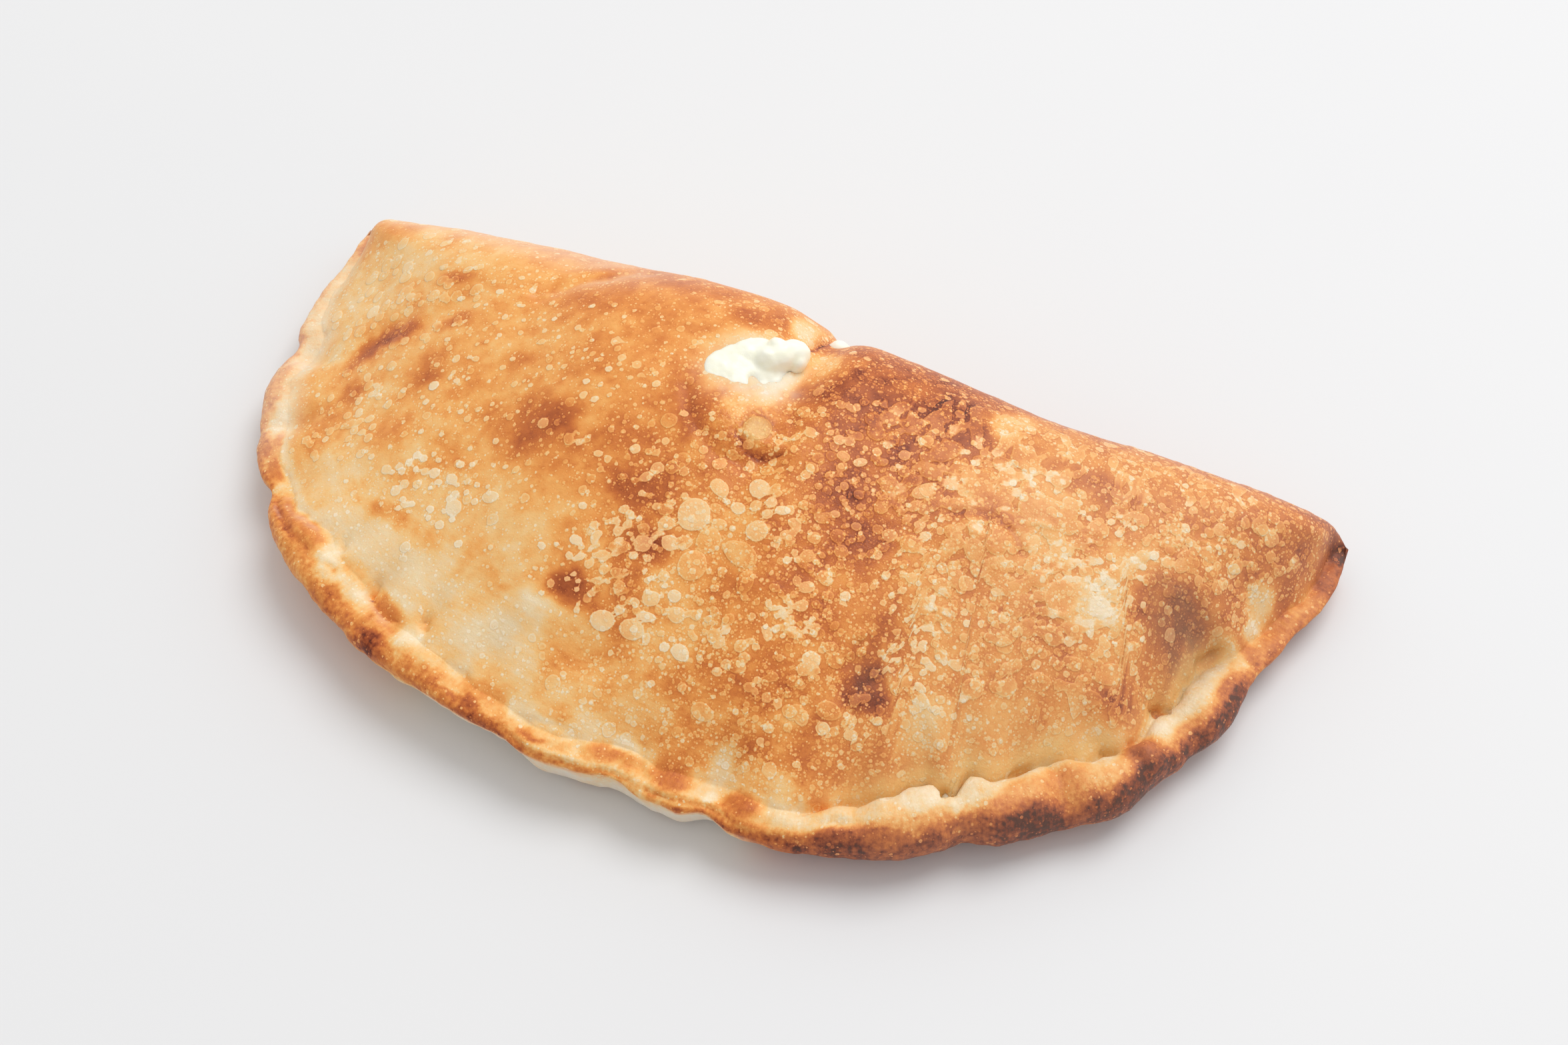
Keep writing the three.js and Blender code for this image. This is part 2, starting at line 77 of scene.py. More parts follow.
# Along X: (x, millimetres).
BACK_Y = [(-141, 3), (-136, 5), (-125, 5.5), (-110, 5.5), (-90, 4.5), (-72, 5), (-50, 4), (-30, 5),
          (-12, 5), (0, 3.5), (6, 0.5), (12, 1.5), (25, 1), (60, 0.5), (90, 4), (105, 5.5),
          (118, 6.5), (132, 6.5), (141, 4)]
RIDGE_HEIGHT = [(-141, 14), (-134, 20.5), (-125, 25), (-110, 30), (-95, 35.5), (-80, 39.5),
                (-66, 41.5), (-54, 45), (-42, 48.5), (-30, 50), (-12, 50.5), (0, 49), (6, 47.5),
                (15, 49), (40, 44.5), (75, 38.5), (100, 33), (118, 28.5), (131, 24.5), (141, 15.5)]
BACK_ROUND = [(-141, 4), (-128, 12), (-110, 19), (-72, 28), (-30, 31), (15, 31), (60, 28),
              (100, 22), (127, 13), (140, 4)]
RIM_HEIGHT = [(-141, 8), (-120, 12), (-90, 15), (-40, 15.5), (10, 13), (50, 10.5), (100, 8.5),
              (140, 8)]
FOLD_HEIGHT = [(-141, 8), (-120, 11), (-90, 17), (-30, 21), (30, 21), (90, 15), (120, 11),
               (140, 8)]

# Along the rim from the left tip: (at, millimetres).
ROLL_WIDTH = [(0, 3), (30, 4.5), (46, 7), (75, 7.5), (98, 5), (104, 6.5), (116, 9), (126, 11.5),
              (133, 11), (147, 10), (158, 9), (167, 9.5), (186, 7), (205, 6), (220, 6.5), (245, 7.5),
              (268, 8), (277, 8.5), (288, 11), (296, 13.5), (306, 14.5), (312, 14), (315.5, 8.5),
              (319, 13.5), (330, 14), (345, 15), (357, 14), (364, 11.5), (370, 10.5), (378, 12),
              (390, 13), (400, 11), (407, 7), (430, 5), (450, 4)]
ROLL_HEIGHT = [(0, 0.5), (30, 1.4), (46, 2.8), (75, 2.6), (98, 1.6), (110, 3.4), (125, 4),
               (150, 3.2), (171, 3), (186, 2.4), (215, 2), (245, 2.2), (265, 3), (280, 5),
               (300, 7.5), (335, 8), (350, 7.5), (366, 6.5), (373, 5.5), (385, 5.5), (400, 4),
               (409, 1.8), (430, 1), (450, 0.8)]
# Height of the dough at the crease, in heights of the roll: 1 leaves no groove.
CREASE_LIFT = [(0, 1), (98, 1), (110, 0.85), (128, 0.9), (165, 0.95), (180, 1), (262, 1),
               (276, 0.7), (290, 0.3), (400, 0.3), (410, 0.8), (450, 1)]
# Depth of the open crack behind the lip of the roll.
CRACK = [(0, 0), (262, 0), (272, 0.8), (290, 1.8), (345, 2.2), (352, 1.6), (362, 2.2), (372, 1.6),
         (380, 2.2), (400, 1.4), (408, 0), (450, 0)]
# How nearly upright the wall under the rim stands.
UPRIGHT = [(0, 0), (192, 0), (214, 0.5), (232, 0.65), (250, 0.5), (262, 0), (450, 0)]
SLOPE_WIDTH = [(0, 8), (100, 14), (135, 19), (190, 20), (230, 18), (265, 15), (290, 10), (330, 10),
               (400, 9), (450, 8)]

# Pinches and swellings of the rim: at, out of the outline, groove (share of the roll), width.
OUT, GROOVE = 1, 2
PINCHES = [(2, 0.2, 0, 6), (46, -2.6, 0.5, 5), (62, 1.2, -0.1, 7), (78, -0.4, 0.35, 4),
           (100, -2.6, 0.45, 6), (122, 0.3, -0.1, 8), (147, -0.3, 0.35, 4), (160, 0.8, -0.1, 12),
           (188, 0.2, 0.2, 4), (210, 1.6, 0, 6), (231, -2.6, 0.45, 6), (243, -0.9, 0, 6),
           (254, -2.9, 0.4, 5), (276, 0.9, 0, 8), (298, 0.9, -0.1, 9), (316, -2.4, 0.1, 5),
           (340, 0, 0.4, 3.5), (352, 2.8, 0, 9), (378, -1, 0.3, 5), (404, -4.8, 0.3, 11),
           (422, -3.4, 0, 12), (448, -0.6, 0, 10)]


def along(stations, position):
    """Smooth value through (position, value) stations, without overshoot between them."""
    at, value = np.array(stations, float).T
    slope = np.diff(value) / np.diff(at)
    before, after = slope[:-1], slope[1:]
    both = np.where(before + after == 0, 1, before + after)
    bend = np.where(before * after > 0, 2 * before * after / both, 0)
    tangent = np.concatenate([slope[:1], bend, slope[-1:]])
    position = np.clip(position, at[0], at[-1])
    i = np.clip(np.searchsorted(at, position) - 1, 0, len(at) - 2)
    span = at[i + 1] - at[i]
    u = (position - at[i]) / span
    return (value[i] * (1 + 2 * u) * (1 - u) ** 2 + tangent[i] * span * u * (1 - u) ** 2
            + value[i + 1] * u * u * (3 - 2 * u) - tangent[i + 1] * span * u * u * (1 - u))


def pinched(at, what):
    """How far the rim is pushed out at a place, or how much of its roll a groove takes."""
    return sum(p[what] * np.exp(-((at - p[0]) / p[3]) ** 2) for p in PINCHES)


def make_rim_line():
    turn = np.linspace(0, math.pi, RIM_STEPS * RIM_FINE + 1)
    c, s = -np.cos(turn), np.abs(np.sin(turn))
    fullness = np.where(c < 0, LEFT_FULLNESS, RIGHT_FULLNESS)
    reach = np.where(c < 0, HALF_LENGTH + BROADEST_X, HALF_LENGTH - BROADEST_X)
    x = BROADEST_X + reach * np.sign(c) * np.abs(c) ** (2 / fullness)
    y = -DEPTH * s ** (2 / fullness)
    run = np.concatenate([[0], np.cumsum(np.hypot(np.diff(x), np.diff(y)))])
    goal = np.linspace(0, run[-1], RIM_STEPS + 1)
    even = np.stack([np.interp(goal, run, x), np.interp(goal, run, y)], 1)
    way = np.concatenate([even[1:2] - even[:1], even[2:] - even[:-2], even[-1:] - even[-2:-1]])
    outward = np.stack([way[:, 1], -way[:, 0]], 1) / np.hypot(*way.T)[:, None]
    at = np.linspace(0, RIM_LENGTH, RIM_STEPS + 1)
    return even + outward * pinched(at, OUT)[:, None]


RIM = make_rim_line()


def rim_point(at):
    stations = np.linspace(0, RIM_LENGTH, RIM_STEPS + 1)
    return np.stack([np.interp(at, stations, RIM[:, 0]), np.interp(at, stations, RIM[:, 1])], -1)


def rim_inward(at):
    way = rim_point(np.asarray(at) + 1) - rim_point(np.asarray(at) - 1)
    inward = np.stack([-way[..., 1], way[..., 0]], -1)
    return inward / np.linalg.norm(inward, axis=-1, keepdims=True)


def from_rim(x, y):
    """inward: distance to the rim's edge. near: the same without sharp lines. at: where."""
    start, way = RIM[:-1], np.diff(RIM, axis=0)
    found = np.empty((3, len(x)))
    for k in range(0, len(x), CHUNK):
        some = slice(k, k + CHUNK)
        dx = x[some, None] - start[:, 0]
        dy = y[some, None] - start[:, 1]
        u = np.clip((dx * way[:, 0] + dy * way[:, 1]) / (way ** 2).sum(1), 0, 1)
        distance = np.hypot(dx - u * way[:, 0], dy - u * way[:, 1])
        places = (np.arange(RIM_STEPS) + u) * (RIM_LENGTH / RIM_STEPS)
        nearest = distance.min(1)
        weight = np.exp((nearest[:, None] - distance) / RIM_BLEND)
        weight /= weight.sum(1)[:, None]
        found[0, some] = nearest
        found[1, some] = np.maximum((weight * distance).sum(1) - RIM_BLEND / 2, 0)
        found[2, some] = (weight * places).sum(1)
    return found


LATTICE_SIDE = 32
LATTICE = np.random.default_rng(11).uniform(-1, 1, (LATTICE_SIDE,) * 3)


def wobble(points, size, shift=0.0):
    """Smooth noise from -1 to 1 whose lumps are about size millimetres across."""
    p = np.asarray(points, float) / size + np.array([shift, shift * 1.7, shift * 0.6])
    cell = np.floor(p).astype(int)
    f = p - cell
    f = f * f * (3 - 2 * f)
    total = 0
    for corner in product((0, 1), repeat=3):
        share = np.prod(np.where(corner, f, 1 - f), axis=-1)
        i, j, k = ((cell + corner) % LATTICE_SIDE).T
        total = total + share * LATTICE[i, j, k]
    return total


def layers_of(points, layers, shift=0.0):
    """Several wobbles together, each layer given as (height, size, shift)."""
    return sum(height * wobble(points, size, shift + own) for height, size, own in layers)


# ---------------------------------------------------------------------------------------------
# Heights of the top and of the underside
# The dough climbs from the crease behind the rolled edge to a ridge beside the fold. It is sunk
# round the burst, swollen over pockets of steam, and dimpled by fingers along the crease.
# ---------------------------------------------------------------------------------------------

DOME_POWER = 2
CREASE_BLEND = 0.9
CREASE_RISE = 6
CREASE_PINCH = 0.8      # share of a pinch that also sinks the crease
MEAN_ROLL = 10
FAR_CREASE = 2.8        # height of the crease's dough further up the dome
FAR_FROM, FAR_TO = 1, 14
SMOOTH_FROM, SMOOTH_TO = 2, 20          # in from the rim, where its pinches stop being felt
DEEP_FROM = 18
RIDGE_EASE = 3
BELLY_DIP = 1.5
BELLY_START = 1.5
FOLD_SLOPE = 0.9
UNDER_ROLL = 4.5
UNDER_SHARE = 0.45
UPRIGHT_SLOPE = 3.2
UPRIGHT_LIP = 3         # how much thinner the roll's underside is over an upright wall
RELIEF_EDGE = 6
ROLL_SQUARE = 2.4       # superellipse exponent of the roll: over 2 its inner lip is steeper
SCALLOP = 0.7           # the inner lip wanders in and out by this much, every few millimetres
SCALLOP_SIZE = 6
SCALLOP_ROLL = 9        # width of a roll that wanders so much; wider ones wander more, up to:
SCALLOP_MOST = 1.2
CRACK_WIDTH = 0.8

# Bumps and dents: x, y, half-widths, turn of the first from X in degrees, height.
RELIEF = [
    (4, -13, 7, 15, 8, -2.6),       # notch between the two humps
    (-3, -33, 13, 8, 20, -1.4),     # sunk dough round the burst
    (-3, -49, 11, 8, 10, 1.8),      # glassy mound below it
    (5.5, -52, 6, 1.7, 8, 0.8),     # lip of the fold in the mound
    (5, -57, 9, 2.5, 8, -0.8),      # its foot
    (-46, -45, 30, 22, 0, 1.6),     # left hump
    (-108, -42, 9, 4, 50, -1.2),    # folds at the left end
    (-90, -34, 9, 4, 50, -1),
    (-88, -74, 12, 9, 45, 1),
    (32, -66, 16, 24, 0, -1.2),     # low band across the middle
    (78, -52, 26, 20, -20, 1.2),    # puffed right side
    (60, -52, 9, 6.5, 0, 1.1),      # collapsed bubble on it
    (72, -38, 7, 4.5, 0, 0.5),
    (48, -88, 5, 10, -22, -1.3),    # scorched dent
    (106, -36, 9, 12, -20, 0.8),
    (-30, -104, 8, 6, 0, 0.9),      # pale bumps near the crease
    (-12, -110, 9, 5, 0, -0.8),
]

# Bumps of the rim: place along it, distance in from its edge, half-widths, height.
RIM_BUMPS = [
    (122, 7.5, 8, 3, 0.5), (133, 8.5, 3.6, 4, 0.9), (146.5, 8.3, 3.2, 2.8, 0.8),
    (157, 6.2, 4, 2, 0.5), (167.5, 7.6, 3.4, 3, 0.9), (175, 6, 3, 2.4, 0.5),
    (192, 5.5, 4, 3, 0.4), (210, 5.5, 5, 2, 0.5), (228, 5, 4, 2.5, 0.5), (245, 6.5, 5, 4, 0.4),
    (261, 6, 4, 3.6, 0.5), (272, 6.2, 4, 3, 0.7), (297, 8, 4, 4, 0.5), (306, 7, 4, 5, 0.4),
    (322, 9, 3, 4, 0.5), (340, 9, 4, 4, 0.4), (352, 9, 5, 4, 0.5), (366, 6.3, 2.8, 5, 1.6),
    (375, 8.5, 4, 3.5, 0.5), (392, 8, 5, 3, 0.4),
]

# Finger dimples: place along the rim, distance in from its edge.
DIMPLES = [(48, 7), (78, 8), (132, 12.5), (148.5, 11), (169.5, 12.8), (190, 13), (254, 8),
           (290, 10), (333.5, 15), (347, 15), (361, 13.6), (379, 12.6), (404, 10.5), (419, 9)]
DIMPLE_ROUND, DIMPLE_LONG = 3.4, 6       # half-widths along the rim and across it
DIMPLE_DEPTH = 1.7
DIMPLE_DEEPER = 2       # the dimples lie this much further in than the places


def quarter_round(u):
    return np.sqrt(1 - (1 - np.clip(u, 0, 1)) ** 2)


def smooth_step(value, low, high):
    u = np.clip((value - low) / (high - low), 0, 1)
    return u * u * (3 - 2 * u)


def smooth_inward(x, y):
    """Distance in from the outline as it was before it was pinched."""
    left = x < BROADEST_X
    fullness = np.where(left, LEFT_FULLNESS, RIGHT_FULLNESS)
    reach = np.where(left, HALF_LENGTH + BROADEST_X, HALF_LENGTH - BROADEST_X)
    level = (np.abs((x - BROADEST_X) / reach) ** fullness
             + (np.maximum(-y, 0) / DEPTH) ** fullness) ** (1 / fullness)
    return np.maximum(DEPTH * (1 - level), 0)


def place(x, y):
    """What the heights need to know about the places (x, y)."""
    inward, near, at = from_rim(x, y)
    from_back = np.maximum(along(BACK_Y, x) - y, 0)
    deeper = smooth_step(inward, SMOOTH_FROM, SMOOTH_TO)
    inner = inward + (smooth_inward(x, y) - inward) * deeper
    share = inner / np.maximum(inner + from_back, 1e-6)
    edge = along(RIM_HEIGHT, x) * (1 - share) + along(FOLD_HEIGHT, x) * share
    side = np.stack([at, 0 * at, 0 * at], 1)
    width = along(ROLL_WIDTH, at)
    wander = np.minimum(width / SCALLOP_ROLL, SCALLOP_MOST)
    width = width + SCALLOP * wobble(side, SCALLOP_SIZE) * wander
    return {"x": x, "y": y, "inward": inward, "near": near, "at": at, "from_back": from_back,
            "share": share, "edge": edge, "inside": np.minimum(inward, from_back),
            "width": width}


def roll_height(spot):
    half = spot["width"] / 2
    crown = along(ROLL_HEIGHT, spot["at"]) * (1 - pinched(spot["at"], GROOVE))
    across = np.abs((spot["inward"] - half) / half)
    return crown * np.maximum(1 - across ** ROLL_SQUARE, 0) ** (1 / ROLL_SQUARE)


def dome_height(spot):
    crease = (along(CREASE_LIFT, spot["at"]) * along(ROLL_HEIGHT, spot["at"])
              * (1 - CREASE_PINCH * pinched(spot["at"], GROOVE)))
    nearby = np.maximum(spot["near"] - spot["width"], 0)
    crease = crease + (FAR_CREASE - crease) * smooth_step(nearby, FAR_FROM, FAR_TO)
    deep = np.maximum(smooth_inward(spot["x"], spot["y"]) - MEAN_ROLL, 0)
    past = nearby + (deep - nearby) * smooth_step(nearby, 0, DEEP_FROM)
    to_ridge = np.maximum(along(BACK_Y, spot["x"]) - along(BACK_ROUND, spot["x"]) - spot["y"], 0)
    rise = 1 - (1 - past / (past + to_ridge + RIDGE_EASE)) ** DOME_POWER
    return (crease * quarter_round(spot["inward"] / CREASE_RISE)
            + (along(RIDGE_HEIGHT, spot["x"]) - spot["edge"] - crease) * rise)


def turned(x, y, turn):
    """The two coordinates along and across a direction turned from X by degrees."""
    c, s = math.cos(math.radians(turn)), math.sin(math.radians(turn))
    return x * c + y * s, y * c - x * s


def relief_height(spot):
    total = 0
    for x, y, rx, ry, turn, up in RELIEF:
        a, b = turned(spot["x"] - x, spot["y"] - y, turn)
        total = total + up * np.exp(-(a / rx) ** 2 - (b / ry) ** 2)
    for at, inward in DIMPLES:
        way = rim_inward(at)
        dx, dy = (spot[axis] - v for axis, v in zip("xy", rim_point(at) + way * inward))
        side, deep = dx * way[1] - dy * way[0], dx * way[0] + dy * way[1]
        total = total - DIMPLE_DEPTH * np.exp(
            -(side / DIMPLE_ROUND) ** 2 - ((deep - DIMPLE_DEEPER) / DIMPLE_LONG) ** 2)
    for at, inward, long, wide, up in RIM_BUMPS:
        total = total + up * np.exp(-((spot["at"] - at) / long) ** 2
                                    - ((spot["inward"] - inward) / wide) ** 2)
    return total * quarter_round(spot["inside"] / RELIEF_EDGE)


def top_height(spot):
    back = quarter_round(spot["from_back"] / along(BACK_ROUND, spot["x"]))
    roll, dome = roll_height(spot), dome_height(spot)
    share = np.clip(0.5 + 0.5 * (roll - dome) / CREASE_BLEND, 0, 1)
    risen = dome + (roll - dome) * share + CREASE_BLEND * share * (1 - share)
    side = np.stack([spot["at"], 0 * roll, 0 * roll], 1)
    crack = along(CRACK, spot["at"]) * (0.6 + 0.6 * wobble(side, 4, 8))
    risen = risen - crack * np.exp(-((spot["inward"] - spot["width"]) / CRACK_WIDTH) ** 2)
    return spot["edge"] + back * risen + relief_height(spot)


def bottom_height(spot):
    edge, inside = spot["edge"], spot["inside"]
    slope = along(SLOPE_WIDTH, spot["at"])
    slope = slope + (edge * FOLD_SLOPE - slope) * spot["share"]
    upright = along(UPRIGHT, spot["at"]) * (spot["share"] < 0.5)
    slope = slope + (UPRIGHT_SLOPE - slope) * upright
    under = np.minimum(UNDER_ROLL - UPRIGHT_LIP * upright, edge * UNDER_SHARE)
    lip = under * quarter_round(inside / under)
    belly = (edge + BELLY_DIP) * quarter_round((inside - BELLY_START * (1 - upright)) / slope)
    return edge - np.maximum(lip, belly)


# ---------------------------------------------------------------------------------------------
# Skins
# The crust and the filling are both closed skins drawn through sections that run from the rim
# to the fold. A sphere with its poles at the tips supplies the faces.
# ---------------------------------------------------------------------------------------------

END_SHARE = 0.45
LOWEST_SINE = 0.35
MILLIMETRE = 0.001


def section_lines(count):
    """The straight lines in plan that the sections follow."""
    share = np.arange(1, count + 1) / (count + 1)
    at = share * RIM_LENGTH
    start = rim_point(at)
    x = RIM[0, 0] + (RIM[-1, 0] - RIM[0, 0]) * share
    end = np.stack([x, along(BACK_Y, x)], 1)
    length = np.hypot(*(end - start).T)
    way = (end - start) / length[:, None]
    return {"at": at, "start": start, "end": end, "length": length,
            "rim_sine": np.maximum((way * rim_inward(at)).sum(1), LOWEST_SINE),
            "back_sine": np.maximum(way[:, 1], LOWEST_SINE), "round": along(BACK_ROUND, x)}


def on_lines(lines, parts):
    spots = lines["start"][:, None] + (lines["end"] - lines["start"])[:, None] * parts[..., None]
    return spots[..., 0].ravel(), spots[..., 1].ravel()


def band(rows, length):
    """Rows in millimetres as shares of each section, kept within its END_SHARE."""
    most = END_SHARE * np.arange(rows.shape[1]) / (rows.shape[1] - 1)
    return np.minimum(rows / length[:, None], most)


def as_object(name, bm):
    """Turns the faces being built into an object of its own."""
    mesh = bpy.data.meshes.new(name)
    bm.to_mesh(mesh)
    bm.free()
    thing = bpy.data.objects.new(name, mesh)
    bpy.context.scene.collection.objects.link(thing)
    return thing


def swept_skin(name, sections, first, last):
    """A closed mesh through the sections, in millimetres, as an object of its own."""
    count, around = sections.shape[:2]
    bm = bmesh.new()
    bmesh.ops.create_uvsphere(bm, u_segments=around, v_segments=count + 1, radius=1)
    for v in bm.verts:
        ring = round(math.acos(min(max(v.co.z, -1), 1)) / math.pi * (count + 1))
        column = round(math.atan2(v.co.y, v.co.x) / (2 * math.pi) * around) % around
        if ring in (0, count + 1):
            v.co = first if ring == 0 else last
        else:
            v.co = sections[ring - 1, column]
    bmesh.ops.recalc_face_normals(bm, faces=bm.faces)
    if bm.calc_volume(signed=True) < 0:
        bmesh.ops.reverse_faces(bm, faces=bm.faces)
    return as_object(name, bm)


def middle_of(points):
    return points.mean(0)


def corners(mesh):
    co = np.empty(len(mesh.vertices) * 3)
    mesh.vertices.foreach_get("co", co)
    return co.reshape(-1, 3)


def normals(mesh):
    out = np.empty(len(mesh.vertices) * 3)
    mesh.vertex_normals.foreach_get("vector", out)
    return out.reshape(-1, 3)


def move_to(mesh, points):
    mesh.vertices.foreach_set("co", np.asarray(points, float).ravel())
    mesh.update()


def worked(thing, *steps):
    """Applies modifiers, each given as (kind, settings), and returns the object with the result."""
    for kind, settings in steps:
        modifier = thing.modifiers.new(kind, kind)
        for key, value in settings.items():
            setattr(modifier, key, value)
    graph = bpy.context.evaluated_depsgraph_get()
    result = bpy.data.meshes.new_from_object(thing.evaluated_get(graph))
    thing.modifiers.clear()
    old = thing.data
    thing.data = result
    bpy.data.meshes.remove(old)
    return thing


# ---------------------------------------------------------------------------------------------
# Ricotta
# A lens of moist white cheese inside the dough. It has pushed out through the burst on the ridge
# as a flat patch with a lump of curds beside it, and it shows in the notch and in a slit.
# ---------------------------------------------------------------------------------------------

WALL = 5
FLOOR_WALL = 4
SEAL = 19
FOLD_WALL = 7
FILLING_ROUND = 9
END_GROWTH = 4
LENS_LEAST = 3
LENS_SECTIONS = 59
LENS_ROWS = 16
CURD_VOXEL = 0.42
CUT_VOXEL = 0.8         # of the curds' print in the crust

# x, y, half-widths, height of its centre over the dough round it, turn in degrees.
CURDS = [
    (-7.2, -33.5, 10.6, 8.3, 2.2, -1.3, 32),
    (-7.5, -33, 7, 4.5, 5.5, -5.6, 35),
    (-7.2, -27.8, 5.6, 4.2, 2.4, -0.9, 30),
    (-3.2, -28.6, 3.9, 3.4, 3.5, 0.5, 20),
    (-1.2, -26.4, 4.5, 3.7, 3.7, 0.9, 55),
    (0.7, -23.9, 4.1, 3.8, 3.6, 1, 60),
    (-3.3, -25.3, 2.5, 2.4, 3, 1.3, 0),
    (2.4, -25.6, 2.4, 2.6, 3, 0.8, 0),
    (6, -7.5, 5, 3, 8, -6.6, 15),
    (73.4, -103.9, 2.6, 1.4, 2, -2, -45),
    (69.2, -98.8, 8, 2.2, 2, -5.4, 122),
]
PIT = (-4.6, -35.4, 1.5, 1.1)           # x, y, half-width and depth of a hole in the cheese
CURD_LUMPS = [(0.35, 3.2, 0), (0.16, 1.4, 3)]
STRIDE = 3              # over which the slope of the dough under a curd is measured


def lens(name, grow):
    """The cheese inside the walls of dough as a closed skin, grown all round by grow."""
    lines = section_lines(LENS_SECTIONS)
    start = SEAL / lines["rim_sine"] / lines["length"]
    end = 1 - FOLD_WALL / lines["back_sine"] / lines["length"]
    free = (end - start) * lines["length"]
    kept = free >= LENS_LEAST
    lines = {key: value[kept] for key, value in lines.items()}
    start = (start[kept] - grow / lines["rim_sine"] / lines["length"])[:, None]
    end = (end[kept] + grow / lines["back_sine"] / lines["length"])[:, None]
    part = (1 - np.cos(np.pi * np.arange(LENS_ROWS) / LENS_ROWS)) / 2
    part = np.concatenate([part, 1 - part])[None]
    x, y = on_lines(lines, start + (end - start) * part)
    spot = place(x, y)
    full = quarter_round(np.minimum(part, 1 - part) * free[kept][:, None] / FILLING_ROUND).ravel()
    upper = np.broadcast_to(np.arange(2 * LENS_ROWS) < LENS_ROWS, (len(start), 2 * LENS_ROWS))
    goal = np.where(upper.ravel(), top_height(spot) - WALL + grow, FLOOR_WALL - grow)
    z = spot["edge"] + (goal - spot["edge"]) * full
    sections = np.stack([x, y, z], 1).reshape(len(start), 2 * LENS_ROWS, 3)
    past = np.array([LENS_LEAST + END_GROWTH * grow, 0, 0])
    return swept_skin(name, sections, middle_of(sections[0]) - past, middle_of(sections[-1]) + past)


def curds(name, grow, voxel):
    """All curds as one lumpy mesh of fine voxels."""
    bm = bmesh.new()
    for x, y, rx, ry, rz, lift, turn in CURDS:
        round_it = place(np.array([x, x + STRIDE, x]), np.array([y, y, y + STRIDE]))
        z, east, north = top_height(round_it)
        upright = Vector(((z - east) / STRIDE, (z - north) / STRIDE, 1)).normalized()
        lean = Vector((0, 0, 1)).rotation_difference(upright).to_matrix().to_4x4()
        squeeze = Matrix.Diagonal((rx + grow, ry + grow, rz + grow, 1))
        matrix = (Matrix.Translation(Vector((x, y, z)) + upright * lift) @ lean
                  @ Matrix.Rotation(math.radians(turn), 4, "Z") @ squeeze)
        bmesh.ops.create_icosphere(bm, subdivisions=4, radius=1, matrix=matrix)
    thing = worked(as_object(name, bm), ("REMESH", {"mode": "VOXEL", "voxel_size": voxel}),
                   ("SMOOTH", {"factor": 0.6, "iterations": 6}))
    points = corners(thing.data)
    lump = layers_of(points, CURD_LUMPS)
    x, y, half, deep = PIT
    lump = lump - deep * np.exp(-((points[:, 0] - x) ** 2 + (points[:, 1] - y) ** 2) / half ** 2)
    move_to(thing.data, points + normals(thing.data) * lump[:, None])
    return thing


def combined(thing, other, operation):
    settings = {"object": other, "operation": operation, "solver": "MANIFOLD"}
    return worked(thing, ("BOOLEAN", settings))


cheese = lens("ricotta_piece", 0)
blobs = curds("curds", 0, CURD_VOXEL)
combined(cheese, blobs, "UNION")

# ---------------------------------------------------------------------------------------------
# Crust: its shape
# A single shell of dough, about 5 mm thick over the cheese. Steam has raised hundreds of thin
# round blisters on it, from specks to discs 8 mm wide, crowded in the middle and on the right.
# ---------------------------------------------------------------------------------------------

SECTIONS = 452
MIDDLE_ROWS = 126
FOLD_ROWS = 20
ROLL_ROWS = [0, 0.012, 0.045, 0.1, 0.17, 0.25, 0.34, 0.43, 0.52, 0.61, 0.7, 0.78, 0.85, 0.91,
             0.95, 0.98, 1, 1.02, 1.05, 1.1, 1.17, 1.26, 1.38, 1.52, 1.7, 1.9]
UNDER_ROWS = [0, 0.4, 1, 1.8, 2.8, 4, 5.5, 7.2, 9.2, 11.5, 14, 17]
FLOOR_ROWS = 3
FINE_PARTS = 140
FINE_POWER = 1.6        # crowds the fine parts towards the rim
# Lumps of the dough, and more of them and fine ribs on the roll: height, size, shift.
DOUGH_LUMPS = [(0.35, 18, 18), (0.14, 6, 6), (0.05, 2.6, 2.6)]
ROLL_LUMPS = [(0.2, 2, 9), (0.35, 5, 9)]
RIB_HEIGHT, RIB_SIZE = 0.22, 1.5
LINE_SWAY = [(0.5, 4, 12), (0.25, 1.6, 13)]
BACK_BLISTERS = 260
CLEAR_OF_ROLL = 1.2     # blisters keep this many widths of the roll away from the rim
BLISTER_LEAST, BLISTER_MOST = 0.05, 0.28        # rise of the smallest and of the largest
BLISTER_GROWTH = 0.07
UNMARKED = 3.0          # distance given to dough without a blister near it
HOLLOW_GROWTH = 0.05    # the hollow is a hair larger than the cheese
PRINT_GROWTH = -0.1     # and the hole round a curd a little smaller than the curd


